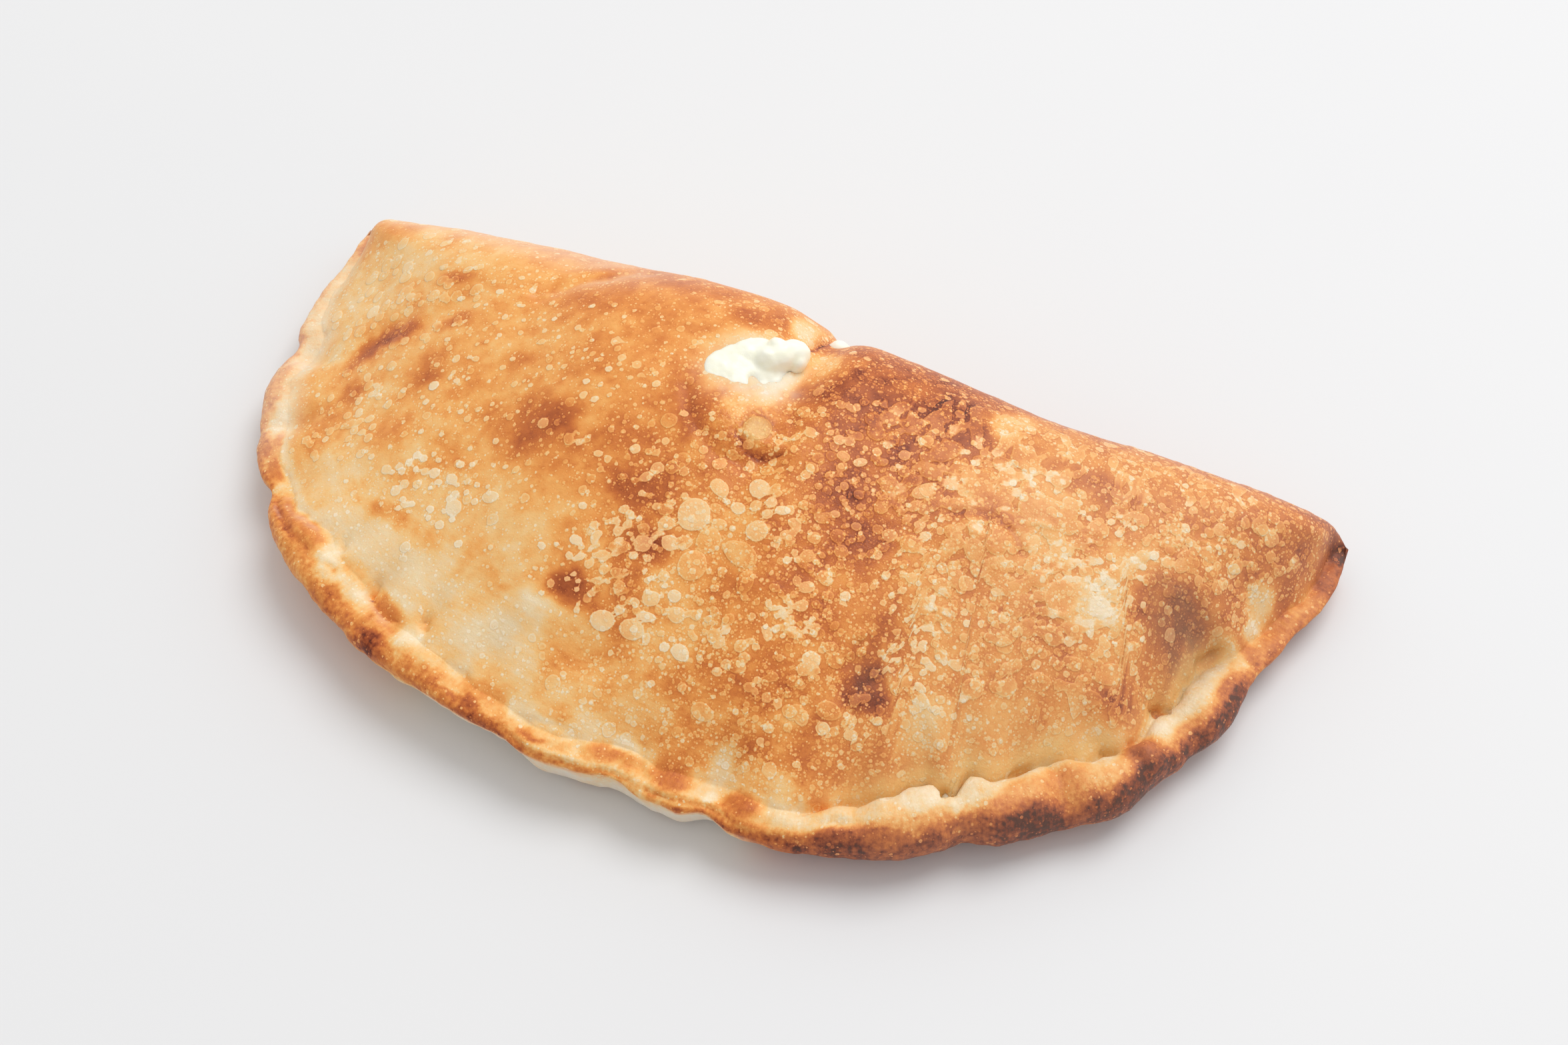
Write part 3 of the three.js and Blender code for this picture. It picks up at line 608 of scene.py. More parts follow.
def crust_skin(name):
    """The plain outside of the dough, its rows close together where the rim and fold bend."""
    lines = section_lines(SECTIONS)
    length = lines["length"]
    fine = np.linspace(0, 1, FINE_PARTS) ** FINE_POWER
    x, y = on_lines(lines, np.broadcast_to(fine, (SECTIONS, FINE_PARTS)))
    spot = place(x, y)
    level = (spot["inward"] / spot["width"]).reshape(SECTIONS, FINE_PARTS)
    level = np.maximum.accumulate(level, axis=1) + fine * 1e-4
    rim = np.stack([np.interp(ROLL_ROWS, level[k], fine) for k in range(SECTIONS)])
    rim = band(rim * length[:, None], length)
    bend = 1 - np.cos(np.pi / 2 * np.arange(FOLD_ROWS + 1) / FOLD_ROWS)
    fold = 1 - band((lines["round"] / lines["back_sine"])[:, None] * bend, length)[:, ::-1]
    steps = np.arange(1, MIDDLE_ROWS) / MIDDLE_ROWS
    middle = rim[:, -1:] + (fold[:, :1] - rim[:, -1:]) * steps
    over = np.concatenate([rim, middle, fold], 1)
    rows = np.array(UNDER_ROWS)
    near_rim = band(rows / lines["rim_sine"][:, None], length)[:, 1:]
    near_fold = 1 - band(rows / lines["back_sine"][:, None], length)[:, 1:]
    steps = np.arange(1, FLOOR_ROWS + 1) / (FLOOR_ROWS + 1)
    floor = near_fold[:, -1:] + (near_rim[:, -1:] - near_fold[:, -1:]) * steps
    under = np.concatenate([near_fold, floor, near_rim[:, ::-1]], 1)
    x, y = on_lines(lines, over)
    top = np.stack([x, y, top_height(place(x, y))], 1).reshape(SECTIONS, -1, 3)
    x, y = on_lines(lines, under)
    low = np.maximum(bottom_height(place(x, y)), 0)
    bottom = np.stack([x, y, low], 1).reshape(SECTIONS, -1, 3)
    tips = [(*p, place(p[:1], p[1:])["edge"][0]) for p in (RIM[0], RIM[-1])]
    return swept_skin(name, np.concatenate([top, bottom], 1), *tips)


# Grooves, folds and wrinkles: depth, half-width, how much darker they are, and their course, first
# round the rim as (place along it, distance in from its edge), then over the top as (x, y).
# Their darkening is partly browning along folds and partly painted shade in the finger pits and
# grooves.
RIM_LINES = [
    (0.9, 0.8, 0.2, [(103, 1.8), (109, 2.6), (116, 3.9), (124, 4.4), (131, 5.3), (137, 7)]),
    (0.5, 0.7, 0.05, [(137, 3.5), (137.8, 6.5), (136, 10)]),
    (0.5, 0.6, 0.08, [(148, 10.6), (152, 9.4), (157, 9), (162, 9.9)]),
    (0.5, 0.7, 0.1, [(153.5, 8.5), (155.5, 5.5), (154.5, 2)]),
    (0.4, 0.7, 0.05, [(163.8, 4.2), (164, 8)]),
    (0.4, 0.7, 0.05, [(172, 9), (172.8, 4.5)]),
    (0.5, 0.5, 0.2, [(204, 0.8), (215, 0.5), (228, 0.8), (236, 1), (243, 1.1), (252, 1.5),
                     (258, 1.2), (266, 0.8), (278, 0.4)]),
    (-0.3, 0.8, -0.12, [(196, 2), (204, 2.2), (215, 1.6), (228, 2), (236, 2.4), (243, 2.4),
                        (252, 2.9), (258, 2.6), (266, 2), (278, 1.4)]),
    (0.4, 0.7, 0.1, [(186, 9), (187, 6), (191, 3.5)]),
    (0.4, 0.6, 0.05, [(204.5, 4), (206.5, 7.4), (214, 7.8), (219, 7.2), (222, 4)]),
    (0.5, 0.7, 0.1, [(233.5, 9), (235, 5), (239, 3)]),
    (0.5, 0.7, 0.05, [(251.8, 13), (252.2, 4.5)]),
    (0.5, 0.7, 0.05, [(255.6, 13), (255.4, 4.5)]),
    (0.4, 0.7, 0.05, [(266.5, 10), (268.5, 3.5)]),
    (0.5, 0.8, 0, [(276, 9), (280, 5.6), (284, 4.8), (292, 5)]),
    (0.5, 0.6, 0.05, [(289, 5.5), (289.8, 8), (290.2, 11)]),
    (0.4, 0.6, 0.05, [(298, 5), (298.5, 9), (298, 12)]),
    (0.5, 0.7, 0.08, [(340, 3), (341, 8), (340.5, 13)]),
    (0.3, 0.6, 0.05, [(343.5, 4), (344, 9), (343, 12)]),
    (0.8, 0.9, 0.08, [(361.5, 12), (363, 6), (362, 2)]),
    (0.8, 0.8, 0.08, [(369.8, 9), (370.5, 4), (369, 1)]),
    (0.8, 0.9, 0.1, [(404, 10.5), (407, 6), (407.5, 2)]),
    # finger pits, darkened as painted shade
    (1.7, 0.8, 0.05, [(130.6, 14.2), (133, 11.4)]),
    (1.5, 0.8, 0.1, [(147.6, 13), (148.9, 10.2)]),
    (1.7, 0.8, 0.05, [(167.8, 14.2), (170.2, 11.8)]),
    (1, 0.6, 0.2, [(284.5, 5.6), (287.5, 5)]),
    (1.4, 0.8, 0.08, [(314, 8), (314.5, 10.5)]),
    (1.4, 0.8, 0.15, [(331, 14.6), (335.5, 15)]),
    (1.7, 0.8, 0.15, [(359.5, 14), (360.7, 12)]),
    (1.9, 0.9, 0.18, [(378.2, 13.6), (380, 12)]),
    (1.9, 0.9, 0.18, [(400.5, 12.2), (406, 9)]),
]
TOP_LINES = [
    (0.9, 0.7, 0.26, [(-1.5, -51.8), (0.5, -53.6), (3.5, -54.8), (7, -54.8), (10.5, -52.6)]),
    (0.5, 0.6, 0.08, [(1, -52.4), (4.5, -53), (8, -52), (9.5, -50)]),
    (0.6, 1.6, 0.06, [(-17.5, -45), (-14, -51), (-9, -55.5), (-3, -58.4), (2, -58.4)]),
    (0.4, 0.9, 0.08, [(11, -50), (10.5, -45), (8, -41)]),
    (0.4, 0.7, 0.1, [(-1, -50), (-0.6, -46.5), (2, -45), (5.5, -46.5)]),
    (0.7, 0.6, 0.5, [(3.9, -6), (3.4, -12), (2.2, -18.5)]),
    (1.3, 3, 0.04, [(-68, -24), (-61, -19), (-54, -14), (-47, -8)]),
    (-0.4, 0.8, -0.24, [(49.5, -83), (51.5, -87), (54.3, -90.5), (57, -93.5)]),
    (0.5, 0.8, 0.1, [(44.3, -85), (43.3, -91), (45.5, -97), (50, -99.5)]),
    (0.5, 1.2, 0.16, [(51, -51), (55, -47), (61, -44.8), (67, -46.6), (70, -50)]),
    (-0.2, 0.8, -0.15, [(56, -50), (58, -48.2), (61, -48.4), (62, -50), (60, -51.3), (57.5, -51)]),
    (-0.2, 0.7, -0.12, [(87, -52), (85, -57.5), (82, -59.5), (79, -57.5), (77, -54), (79, -50)]),
    (-0.2, 0.7, -0.12, [(94, -61), (93.5, -65), (97, -67), (100.5, -65.2), (101, -62)]),
    (-0.2, 0.7, -0.1, [(64.5, -34), (65, -39), (68, -42.4), (74, -41)]),
    (-0.2, 0.7, -0.1, [(101, -26), (105, -24), (112, -23), (118, -24.5), (121, -29)]),
    (0.5, 0.9, 0.12, [(112, -55), (110, -60), (105, -65), (100, -70)]),
]

# The largest and best-placed blisters: x, y, half-widths, turn, and for some how pale they are.
BLISTERS = [
    (-2.5, -73.8, 3.9, 3.9, 0, 0.7), (13.1, -72.5, 2.7, 2.7, 0, 0.6), (9.2, -62.3, 2.6, 2.3, -30),
    (0.6, -65.8, 2.6, 1.9, -30), (6.5, -68.5, 1.8, 1.5, 0), (10.3, -66.7, 1.5, 1.5, 0),
    (13.5, -65, 1.5, 1.3, 0), (16.7, -65.8, 1.8, 1.2, 20), (13.8, -67.9, 1.4, 1.4, 0),
    (11.5, -78.4, 4.6, 2.8, -15, 0.25), (3.3, -77.9, 3, 3, 0, 0.2), (2.1, -84.5, 3.4, 3.7, 0, 0.3),
    (15.4, -84.2, 2, 3, 0, 0.1), (-4.9, -81.8, 2.1, 1.9, -20, 0.8), (-10.8, -84.2, 2.1, 2, 0, 0.7),
    (-11.7, -87.3, 1.1, 1, 0), (-26.2, -88.1, 1.7, 1.2, -10), (-17.5, -83.3, 1.2, 1.2, 0),
    (-23.5, -83.8, 1.2, 1.2, 0), (-11.4, -75.3, 1, 1, 0), (-28, -80.3, 1.1, 1, 0),
    (-3.8, -94.4, 2.2, 1.8, 20, 0.6), (3.1, -95.6, 2.2, 1.9, 0, 0.5), (1, -92.1, 1.7, 1.5, 0),
    (-12.8, -102.2, 3, 2.5, 0, 0.8), (-5.4, -101.7, 3, 2.4, 0, 0.6), (-3.3, -98.3, 2.6, 1.2, 10),
    (-9.8, -99, 1.4, 1.2, 0), (7.3, -102.5, 2.4, 1.9, -20, 0.8), (3.3, -102.7, 1.2, 1.2, 0),
    (17.1, -103.6, 1.3, 1.1, 0), (15.4, -95.1, 1.2, 1.2, 0), (35.8, -93.3, 2.3, 2.2, 0, 0.7),
    (41, -91, 2, 1.8, 0, 0.2), (43.5, -101, 3, 2.2, -10, 0.2), (49.8, -103.4, 1.8, 1.4, 0, 0.6),
    (17, -111.8, 3, 2, -20, 0.3), (25.7, -68.5, 1.7, 1.6, 0, 0.4), (32.5, -68.3, 1.7, 1.7, 0, 0.3),
    (30.4, -65.4, 1.9, 1.8, 0, 0.2), (35.4, -63.3, 1, 1.1, 0, 0.3), (33.3, -61.3, 1.3, 1.1, 0),
    (41, -59.8, 1.8, 1.7, 0, 0.5), (48.8, -56.7, 1.4, 1.3, 0, 0.9), (44, -69, 1.1, 1.1, 0),
    (36.7, -54.6, 1.7, 1.6, 0, 0.3), (46.5, -54.7, 1.4, 1.2, 0), (45.8, -50.5, 1.7, 1.6, 20, 0.4),
    (28, -46.6, 1.8, 1.1, 40, 0.8), (21.5, -43.8, 1.5, 1.4, 0, 0.7), (31.9, -39.2, 1.2, 1.1, 0),
    (36.5, -39.6, 1.5, 1.5, 0, 0.6), (44.5, -34, 4.4, 2.6, 55, 0.25), (43.8, -40.8, 3.2, 2.3, 0, 0.3),
    (49.2, -41.8, 2, 1.6, 0, 0.8), (44.2, -46.2, 3.2, 1.9, 50, 0.6), (37.4, -77.3, 1.3, 1.3, 0, 0.9),
    (28.6, -79.5, 2, 1.4, 30, 0.6), (33.8, -79, 1.5, 1.3, 0, 0.2), (34.2, -86.5, 1, 1, 0),
    (22.2, -76, 1, 1, 0), (-22, -64.2, 1.4, 1.3, 0), (-38.6, -66.4, 1.8, 1.3, -50, 0.3),
    (-35.7, -66.4, 1, 1, 0), (-30, -67.8, 1.2, 0.9, 0), (-47, -63.6, 1.6, 1.5, 0, 0.6),
    (-57, -62.8, 1.1, 1, 0, 0.3), (-57.5, -69.4, 1, 0.9, 0), (-17.3, -95, 1.3, 1, 0),
    (-20.8, -92.1, 1.2, 1.2, 0), (-17.5, -55, 2, 2, 0, 0.2), (4.6, -57.5, 1.1, 1.6, 0, 0.5),
    (9, -57.3, 1.8, 1.4, 0, 0.2), (10.5, -39.5, 1.6, 2, 40, 0.3), (11.2, -32.3, 1.4, 1.5, 0, 0.4),
    (20.3, -34.3, 1.8, 1, -20, 0.5), (2.6, -48.7, 3.1, 3.6, -20, 0.1),
    (-74.4, -76.5, 1.1, 1.1, 0), (-70.2, -76.2, 1, 0.8, 0), (-63.8, -76.4, 1.3, 1, 0),
    (-60.7, -75.9, 0.9, 0.8, 0), (-69.6, -79.5, 1.6, 1.4, -20), (-64.3, -80.2, 1.8, 1.4, -20),
    (-67.5, -81.5, 1.2, 0.9, 0), (-83, -80.9, 1.5, 1.4, 0, 0.5), (-78.6, -80.6, 1.2, 1, 0),
    (-76.2, -83.5, 1.3, 1.2, 0), (-77.7, -85.6, 1.4, 1.5, 0), (-72.8, -83, 1.3, 1.2, 0, 0.4),
    (-61.4, -83.8, 1.2, 1.1, 0), (-60.2, -87, 2.4, 2.1, -20, 0.7), (-51.8, -83.2, 2.3, 1.6, 10),
    (-55.4, -84.8, 1, 1, 0), (-56.8, -80.8, 0.9, 0.8, 0), (-53.7, -80.9, 0.8, 0.7, 0),
    (-66.2, -88.3, 1.2, 0.9, 0), (-74.6, -87.3, 1, 0.9, 0), (-74.7, -89.6, 0.8, 0.9, 0),
    (-61.9, -91.6, 1.4, 1.2, 0, 0.7), (-59.2, -89.9, 1, 0.8, 0), (-67.9, -98.3, 1.5, 1.5, 0, 0.4),
    (-54.6, -95.1, 1.2, 1.1, 0, 0.8), (-46, -94.5, 0.8, 0.8, 0), (-79.8, -89.4, 0.7, 0.9, 0),
    (-82, -57, 1.6, 1.5, 0, 0.7), (-84.5, -51, 0.9, 0.8, 0), (-90.3, -58.8, 1, 0.9, 0),
    (-83.6, -60.5, 0.8, 0.7, 0), (-98.3, -43.8, 1.4, 1.4, 0, 0.6), (-101.2, -52, 0.9, 0.8, 0),
    (-102.3, -62.2, 1.1, 1.5, 0, 0.6), (-102, -57.5, 1.4, 1.8, 0, 0.3), (-100, -65.7, 1.2, 1.5, 20),
    (-115.5, -33, 2, 2.2, 0, 0.5), (-119.7, -40, 1.5, 2.2, 10, 0.4), (-108, -30, 1.5, 1.6, 0, 0.4),
    (-105, -29.5, 1.6, 1.3, 0, 0.5), (-117, -27.6, 1.5, 2, 0, 0.3), (-104.5, -11, 1.5, 2, -30, 0.5),
    (-89, -30, 1.3, 0.8, 10), (-78.6, -70, 0.9, 0.9, 0), (-72.8, -69.8, 0.8, 0.7, 0),
    (-88.7, -78.3, 1, 1, 0), (-79, -27, 1.2, 0.9, 0), (-86.3, -38.6, 0.8, 0.8, 0),
    (-85.6, -43.4, 1, 0.8, 0), (-59.4, -33.5, 0.9, 0.8, 0), (-51.3, -28.3, 1, 0.8, 40),
    (-36, -42.6, 1.1, 1, 0), (-37.6, -46.6, 1, 0.9, 0), (-41.5, -51.2, 1, 0.9, 0),
    (32.8, -28.3, 1.1, 1.1, 0), (30.5, -29.8, 1.2, 1, 0), (35.4, -33.1, 1.2, 1, 0, 0.3),
    (102.2, -23.4, 1.3, 1.3, 0, 0.9), (87.2, -62.6, 1.3, 1.3, 0, 0.8), (98, -63.5, 4, 2.6, 30, 0.2),
    (91, -52, 3, 2.6, 0, 0.95), (82.5, -55.3, 4.2, 4.4, 20, 0.25), (86, -51, 3, 2, 0, 0.3),
    (63.8, -36.5, 1.3, 1.3, 0, 0.95), (64.7, -31, 1.2, 1, 0, 0.9), (58.4, -38.2, 1, 1, 0, 1),
    (60.3, -31.3, 1.2, 1.1, 0, 0.7), (97.9, -33.8, 1.3, 1.3, 0, 1), (70, -26.4, 1.4, 1.1, 0, 0.95),
    (54.8, -22.5, 1.1, 0.9, 0), (62.5, -26.8, 3.8, 3, 0, 0.2), (71.5, -38, 7, 4.6, 0, 0.3),
    (55.5, -39.5, 3.6, 3, 0, 0.25), (51, -28.4, 1.3, 1, 0), (118, -12.5, 2.6, 2, 0, 0.4),
    (121.5, -13, 2, 2, 0, 0.5), (100.8, -17, 1, 0.9, 0), (115.4, -18.8, 1.1, 1.1, 0, 0.9),
    (110.8, -7.9, 1.5, 1, -30), (84, -12.3, 1, 0.9, 0), (96.8, -13, 1, 0.9, 0, 0.9),
    (68.3, -61.4, 1.3, 1.1, 0), (69.8, -85.4, 1.4, 1.1, 0, 0.9), (81.7, -59.3, 1.3, 1.3, 0, 0.8),
    (65, -70.8, 1, 1, 0, 0.9), (60.5, -88, 1.6, 1, -20, 0.8), (66, -80.2, 1.8, 1.2, -20, 0.6),
    (103, -75, 2.4, 2, 0, 0.2),
]

# Crowds of smaller ones: middle, half-widths, number, smallest and largest radius, paleness
# from and to, and how far they may overlap.
CROWDS = [
    (-70, -83, 14, 9, 26, 0.7, 1.2, 0.5, 1, 0.2),
    (4, -76, 28, 27, 130, 0.8, 1.7, 0.2, 0.7, 0.1),
    (-14, -84, 16, 12, 40, 0.7, 1.2, 0.5, 0.9, 0.1),
    (66, -36, 40, 24, 330, 0.9, 2.4, 0.05, 0.45, 0.6),
    (66, -38, 34, 16, 60, 0.7, 1.1, 0.8, 1, 0.3),
    (76, -62, 30, 22, 200, 0.9, 2.6, 0.05, 0.35, 0.6),
    (90, -50, 14, 9, 44, 0.7, 1.2, 0.7, 1, 0.3),
    (26, -96, 44, 14, 90, 0.8, 1.8, 0.1, 0.5, 0.4),
    (55, -78, 9, 12, 50, 0.6, 1, 0.6, 0.9, 0.3),
    (28, -88, 7, 4, 40, 0.6, 0.9, 0.6, 0.9, 0.3),
    (32, -52, 24, 24, 150, 0.7, 1.4, 0.1, 0.6, 0.2),
    (-50, -42, 44, 34, 130, 0.6, 1, 0.2, 0.8, 0.1),
    (-106, -30, 22, 24, 60, 1, 2, 0.1, 0.35, 0.4),
    (-103, -70, 14, 14, 40, 0.9, 1.6, 0.2, 0.5, 0.4),
    (108, -18, 24, 18, 150, 0.7, 1.9, 0.05, 0.5, 0.5),
    (-22, -94, 14, 10, 34, 0.6, 1, 0.5, 0.9, 0.1),
]


def drawn(u, v, uneven, lines):
    """Depth of the lines at the places (u, v), and how much darker the dough is painted there, partly
    browning and partly painted shade.
    """
    depth, dark_and_shade = np.zeros(len(u)), np.zeros(len(u))
    for deep, width, tint, course in lines:
        course = np.array(course, float)
        low, high = course.min(0) - 3 * width, course.max(0) + 3 * width
        near = np.flatnonzero((u > low[0]) & (u < high[0]) & (v > low[1]) & (v < high[1]))
        gap = np.full(len(near), 3.0 * width)
        for a, b in zip(course, course[1:]):
            du, dv, way = u[near] - a[0], v[near] - a[1], b - a
            part = np.clip((du * way[0] + dv * way[1]) / (way @ way), 0, 1)
            gap = np.minimum(gap, np.hypot(du - part * way[0], dv - part * way[1]))
        mark = np.exp(-(gap / width) ** 2) * uneven[near]
        depth[near] += deep * mark
        dark_and_shade[near] += tint * mark
    return depth, dark_and_shade


def all_lines(points, spot):
    """The same for both sets of lines together, a little unsteady."""
    flat = points * (1, 1, 0)
    sway = layers_of(flat, LINE_SWAY)
    uneven = np.clip(0.85 + 0.7 * wobble(flat, 3.2, 14), 0.1, 1.3)
    depth, dark_and_shade = drawn(spot["at"] + sway, spot["inward"] - sway, uneven, RIM_LINES)
    over, tint = drawn(points[:, 0] + sway, points[:, 1] - sway, uneven, TOP_LINES)
    return depth + over, dark_and_shade + tint


def all_blisters(points, normal, rim_share):
    """Every blister as (centre, along, across, half-widths, paleness), snapped onto the skin."""
    rng = np.random.default_rng(5)
    wanted = []
    for x, y, rx, ry, number, small, large, low, high, overlap in CROWDS:
        placed = [(b[0], b[1], max(b[2], b[3])) for b in BLISTERS]
        for _ in range(number):
            far, way = rng.random() ** 0.6, rng.uniform(0, 2 * math.pi)
            radius = small + (large - small) * rng.random() ** 2
            cx, cy = x + rx * far * math.cos(way), y + ry * far * math.sin(way)
            free = all(math.hypot(cx - px, cy - py) > (1 - overlap) * (radius + r)
                       for px, py, r in placed)
            turn, stretch, pale = rng.uniform(0, 180), rng.uniform(1, 1.3), rng.uniform(low, high)
            if free:
                placed.append((cx, cy, radius))
                wanted.append((cx, cy, radius * stretch, radius, turn, pale))
    wanted += [b if len(b) == 6 else (*b, rng.uniform(0.5, 1)) for b in BLISTERS]
    upper = np.flatnonzero(normal[:, 2] > 0.15)
    plan = KDTree(len(upper))
    for i in upper:
        plan.insert((points[i, 0], points[i, 1], 0), int(i))
    plan.balance()
    found = []
    for x, y, rx, ry, turn, pale in wanted:
        _, i, far = plan.find((x, y, 0))
        if far > 2 or rim_share[i] < CLEAR_OF_ROLL:
            continue
        n = normal[i]
        way = np.array([math.cos(math.radians(turn)), math.sin(math.radians(turn)), 0])
        along_it = way - n * (way @ n)
        along_it /= np.linalg.norm(along_it)
        found.append((points[i] + [x - points[i, 0], y - points[i, 1], 0], along_it,
                      np.cross(n, along_it), rx, ry, pale))
    back = np.flatnonzero((normal[:, 1] > 0.5) & (points[:, 2] > 6))
    back = rng.permutation(back)[:BACK_BLISTERS]
    for i in back:
        n, r = normal[i], 0.8 + 0.9 * rng.random() ** 2.5
        along_it = np.cross(n, (0, 0, 1.0))
        along_it /= np.linalg.norm(along_it)
        found.append((points[i], along_it, np.cross(n, along_it), r, r, rng.uniform(0.2, 0.8)))
    return found


def blister_field(points, blisters):
    """Distance in to or out of the uppermost blister's edge, its paleness, and the skin's rise."""
    tree = KDTree(len(points))
    for i, p in enumerate(points):
        tree.insert(p, i)
    tree.balance()
    far, tone = np.full(len(points), UNMARKED), np.zeros(len(points))
    rise = np.zeros(len(points))
    for centre, along_it, across, rx, ry, pale in blisters:
        near = np.array([i for _, i, _ in tree.find_range(centre, 1.3 * max(rx, ry) + 1.6)])
        if not len(near):
            continue
        d = points[near] - centre
        size = math.sqrt(rx * ry)
        reach = np.hypot(d @ along_it / rx, d @ across / ry)
        reach = reach + 0.1 * wobble(points[near], size * 0.9, 2)
        edge = (reach - 1) * size
        over = (edge < 0) | (edge < far[near])
        far[near[over]] = edge[over]
        tone[near[over]] = pale
        lift = min(BLISTER_LEAST + BLISTER_GROWTH * size, BLISTER_MOST)
        lift = lift * smooth_step(-edge, -0.2, 0.5)
        rise[near] = np.maximum(rise[near], lift)
    return far, tone, rise


# the skin is pushed in and out along its normals, on top and at the sides only
crust = crust_skin("crust_piece")
skin = corners(crust.data)
outward = normals(crust.data)
spot = place(skin[:, 0], skin[:, 1])
across = spot["inward"] / spot["width"]
blisters = all_blisters(skin, outward, across)
lumps = layers_of(skin, DOUGH_LUMPS)
rise = blister_field(skin, blisters)[2]
on_roll = 1 - smooth_step(across, 1, 1.25)
rib = wobble(np.stack([spot["at"], spot["inward"] / 4, 0 * across], 1), RIB_SIZE, 3)
lumps = lumps + RIB_HEIGHT * rib * smooth_step(across, 0.3, 0.8) * on_roll
lumps = lumps + layers_of(skin, ROLL_LUMPS) * on_roll
above = smooth_step(skin[:, 2] - spot["edge"], -1.5, 0)
push = lumps + rise * (1 - on_roll) - all_lines(skin, spot)[0] * above
push = push * smooth_step(skin[:, 2], 0.3, 3)
skin = skin + outward * push[:, None]
skin[:, 2] = np.maximum(skin[:, 2], 0)
move_to(crust.data, skin)

# the room for the cheese, and the holes that its curds come through
hollow = lens("hollow", HOLLOW_GROWTH)
combined(crust, hollow, "DIFFERENCE")
curd_print = curds("print", PRINT_GROWTH, CUT_VOXEL)
combined(crust, curd_print, "DIFFERENCE")
for spare in (hollow, blobs, curd_print):
    bpy.data.objects.remove(spare)

# ---------------------------------------------------------------------------------------------
# Crust: where it is baked how dark
# The crown of the loaf and the outer side of the rolled rim have browned, with scorched spots.
# The left end, the front left and the crease, which the heat reached last, are still cream.
# Part of the level is painted shade: on the lower side of the front rim and in pits and grooves.
# ---------------------------------------------------------------------------------------------

BASE_LEVEL = 0.52
FOLD_LEVEL = 0.34       # low at the back of the fold, rising towards the ridge and the right
FOLD_RISE, FOLD_RIGHT = 0.2, 0.22
OILY_LEVEL = 0.3
BOTTOM_LEVEL = 0.62

# Unevenness of the areas' edges, of the level itself, of the same at the rim: height, size, shift.
AREA_SWAY = [(5, 14, 0), (3, 6, 5), (1.5, 2.5, 9), (0.8, 1.2, 12)]
MOTTLE = [(0.1, 7, 21), (0.08, 3, 22), (0.05, 1.5, 0)]
RIM_SWAY = [(0.9, 3, 31), (0.4, 1.1, 32)]
INWARD_SWAY = [(0.8, 2.4, 33), (0.35, 1, 34)]
ROLL_MOTTLE = [(0.09, 5, 35), (0.08, 2, 36)]

# x, y, half-widths, turn, level: broad areas first, then single places.
AREAS = [
    (-125, -30, 22, 45, 0, 0.2), (-85, -35, 38, 30, 0, 0.4), (-60, -85, 45, 22, -15, 0.35),
    (-75, -102, 38, 14, -30, 0.18), (-35, -112, 30, 12, -5, 0.24), (-30, -25, 38, 18, 0, 0.54),
    (-38, -10, 20, 9, 0, 0.68), (10, -65, 40, 30, 0, 0.56), (30, -18, 25, 14, 0, 0.86),
    (75, -35, 35, 28, 0, 0.54), (36, -37, 20, 11, 15, 0.78), (38, -8, 28, 8, 0, 0.84),
    (65, -80, 35, 22, 0, 0.52), (118, -15, 16, 18, 0, 0.66), (25, -105, 35, 12, 0, 0.56),
    (-105, -12, 22, 12, 0, 0.24), (-88, -8, 30, 9, 0, 0.38), (82, -9, 22, 8, 5, 0.5),
    (-127, 0, 14, 9, -20, 0.46), (-138, 4, 8, 9, 0, 0.54),
]
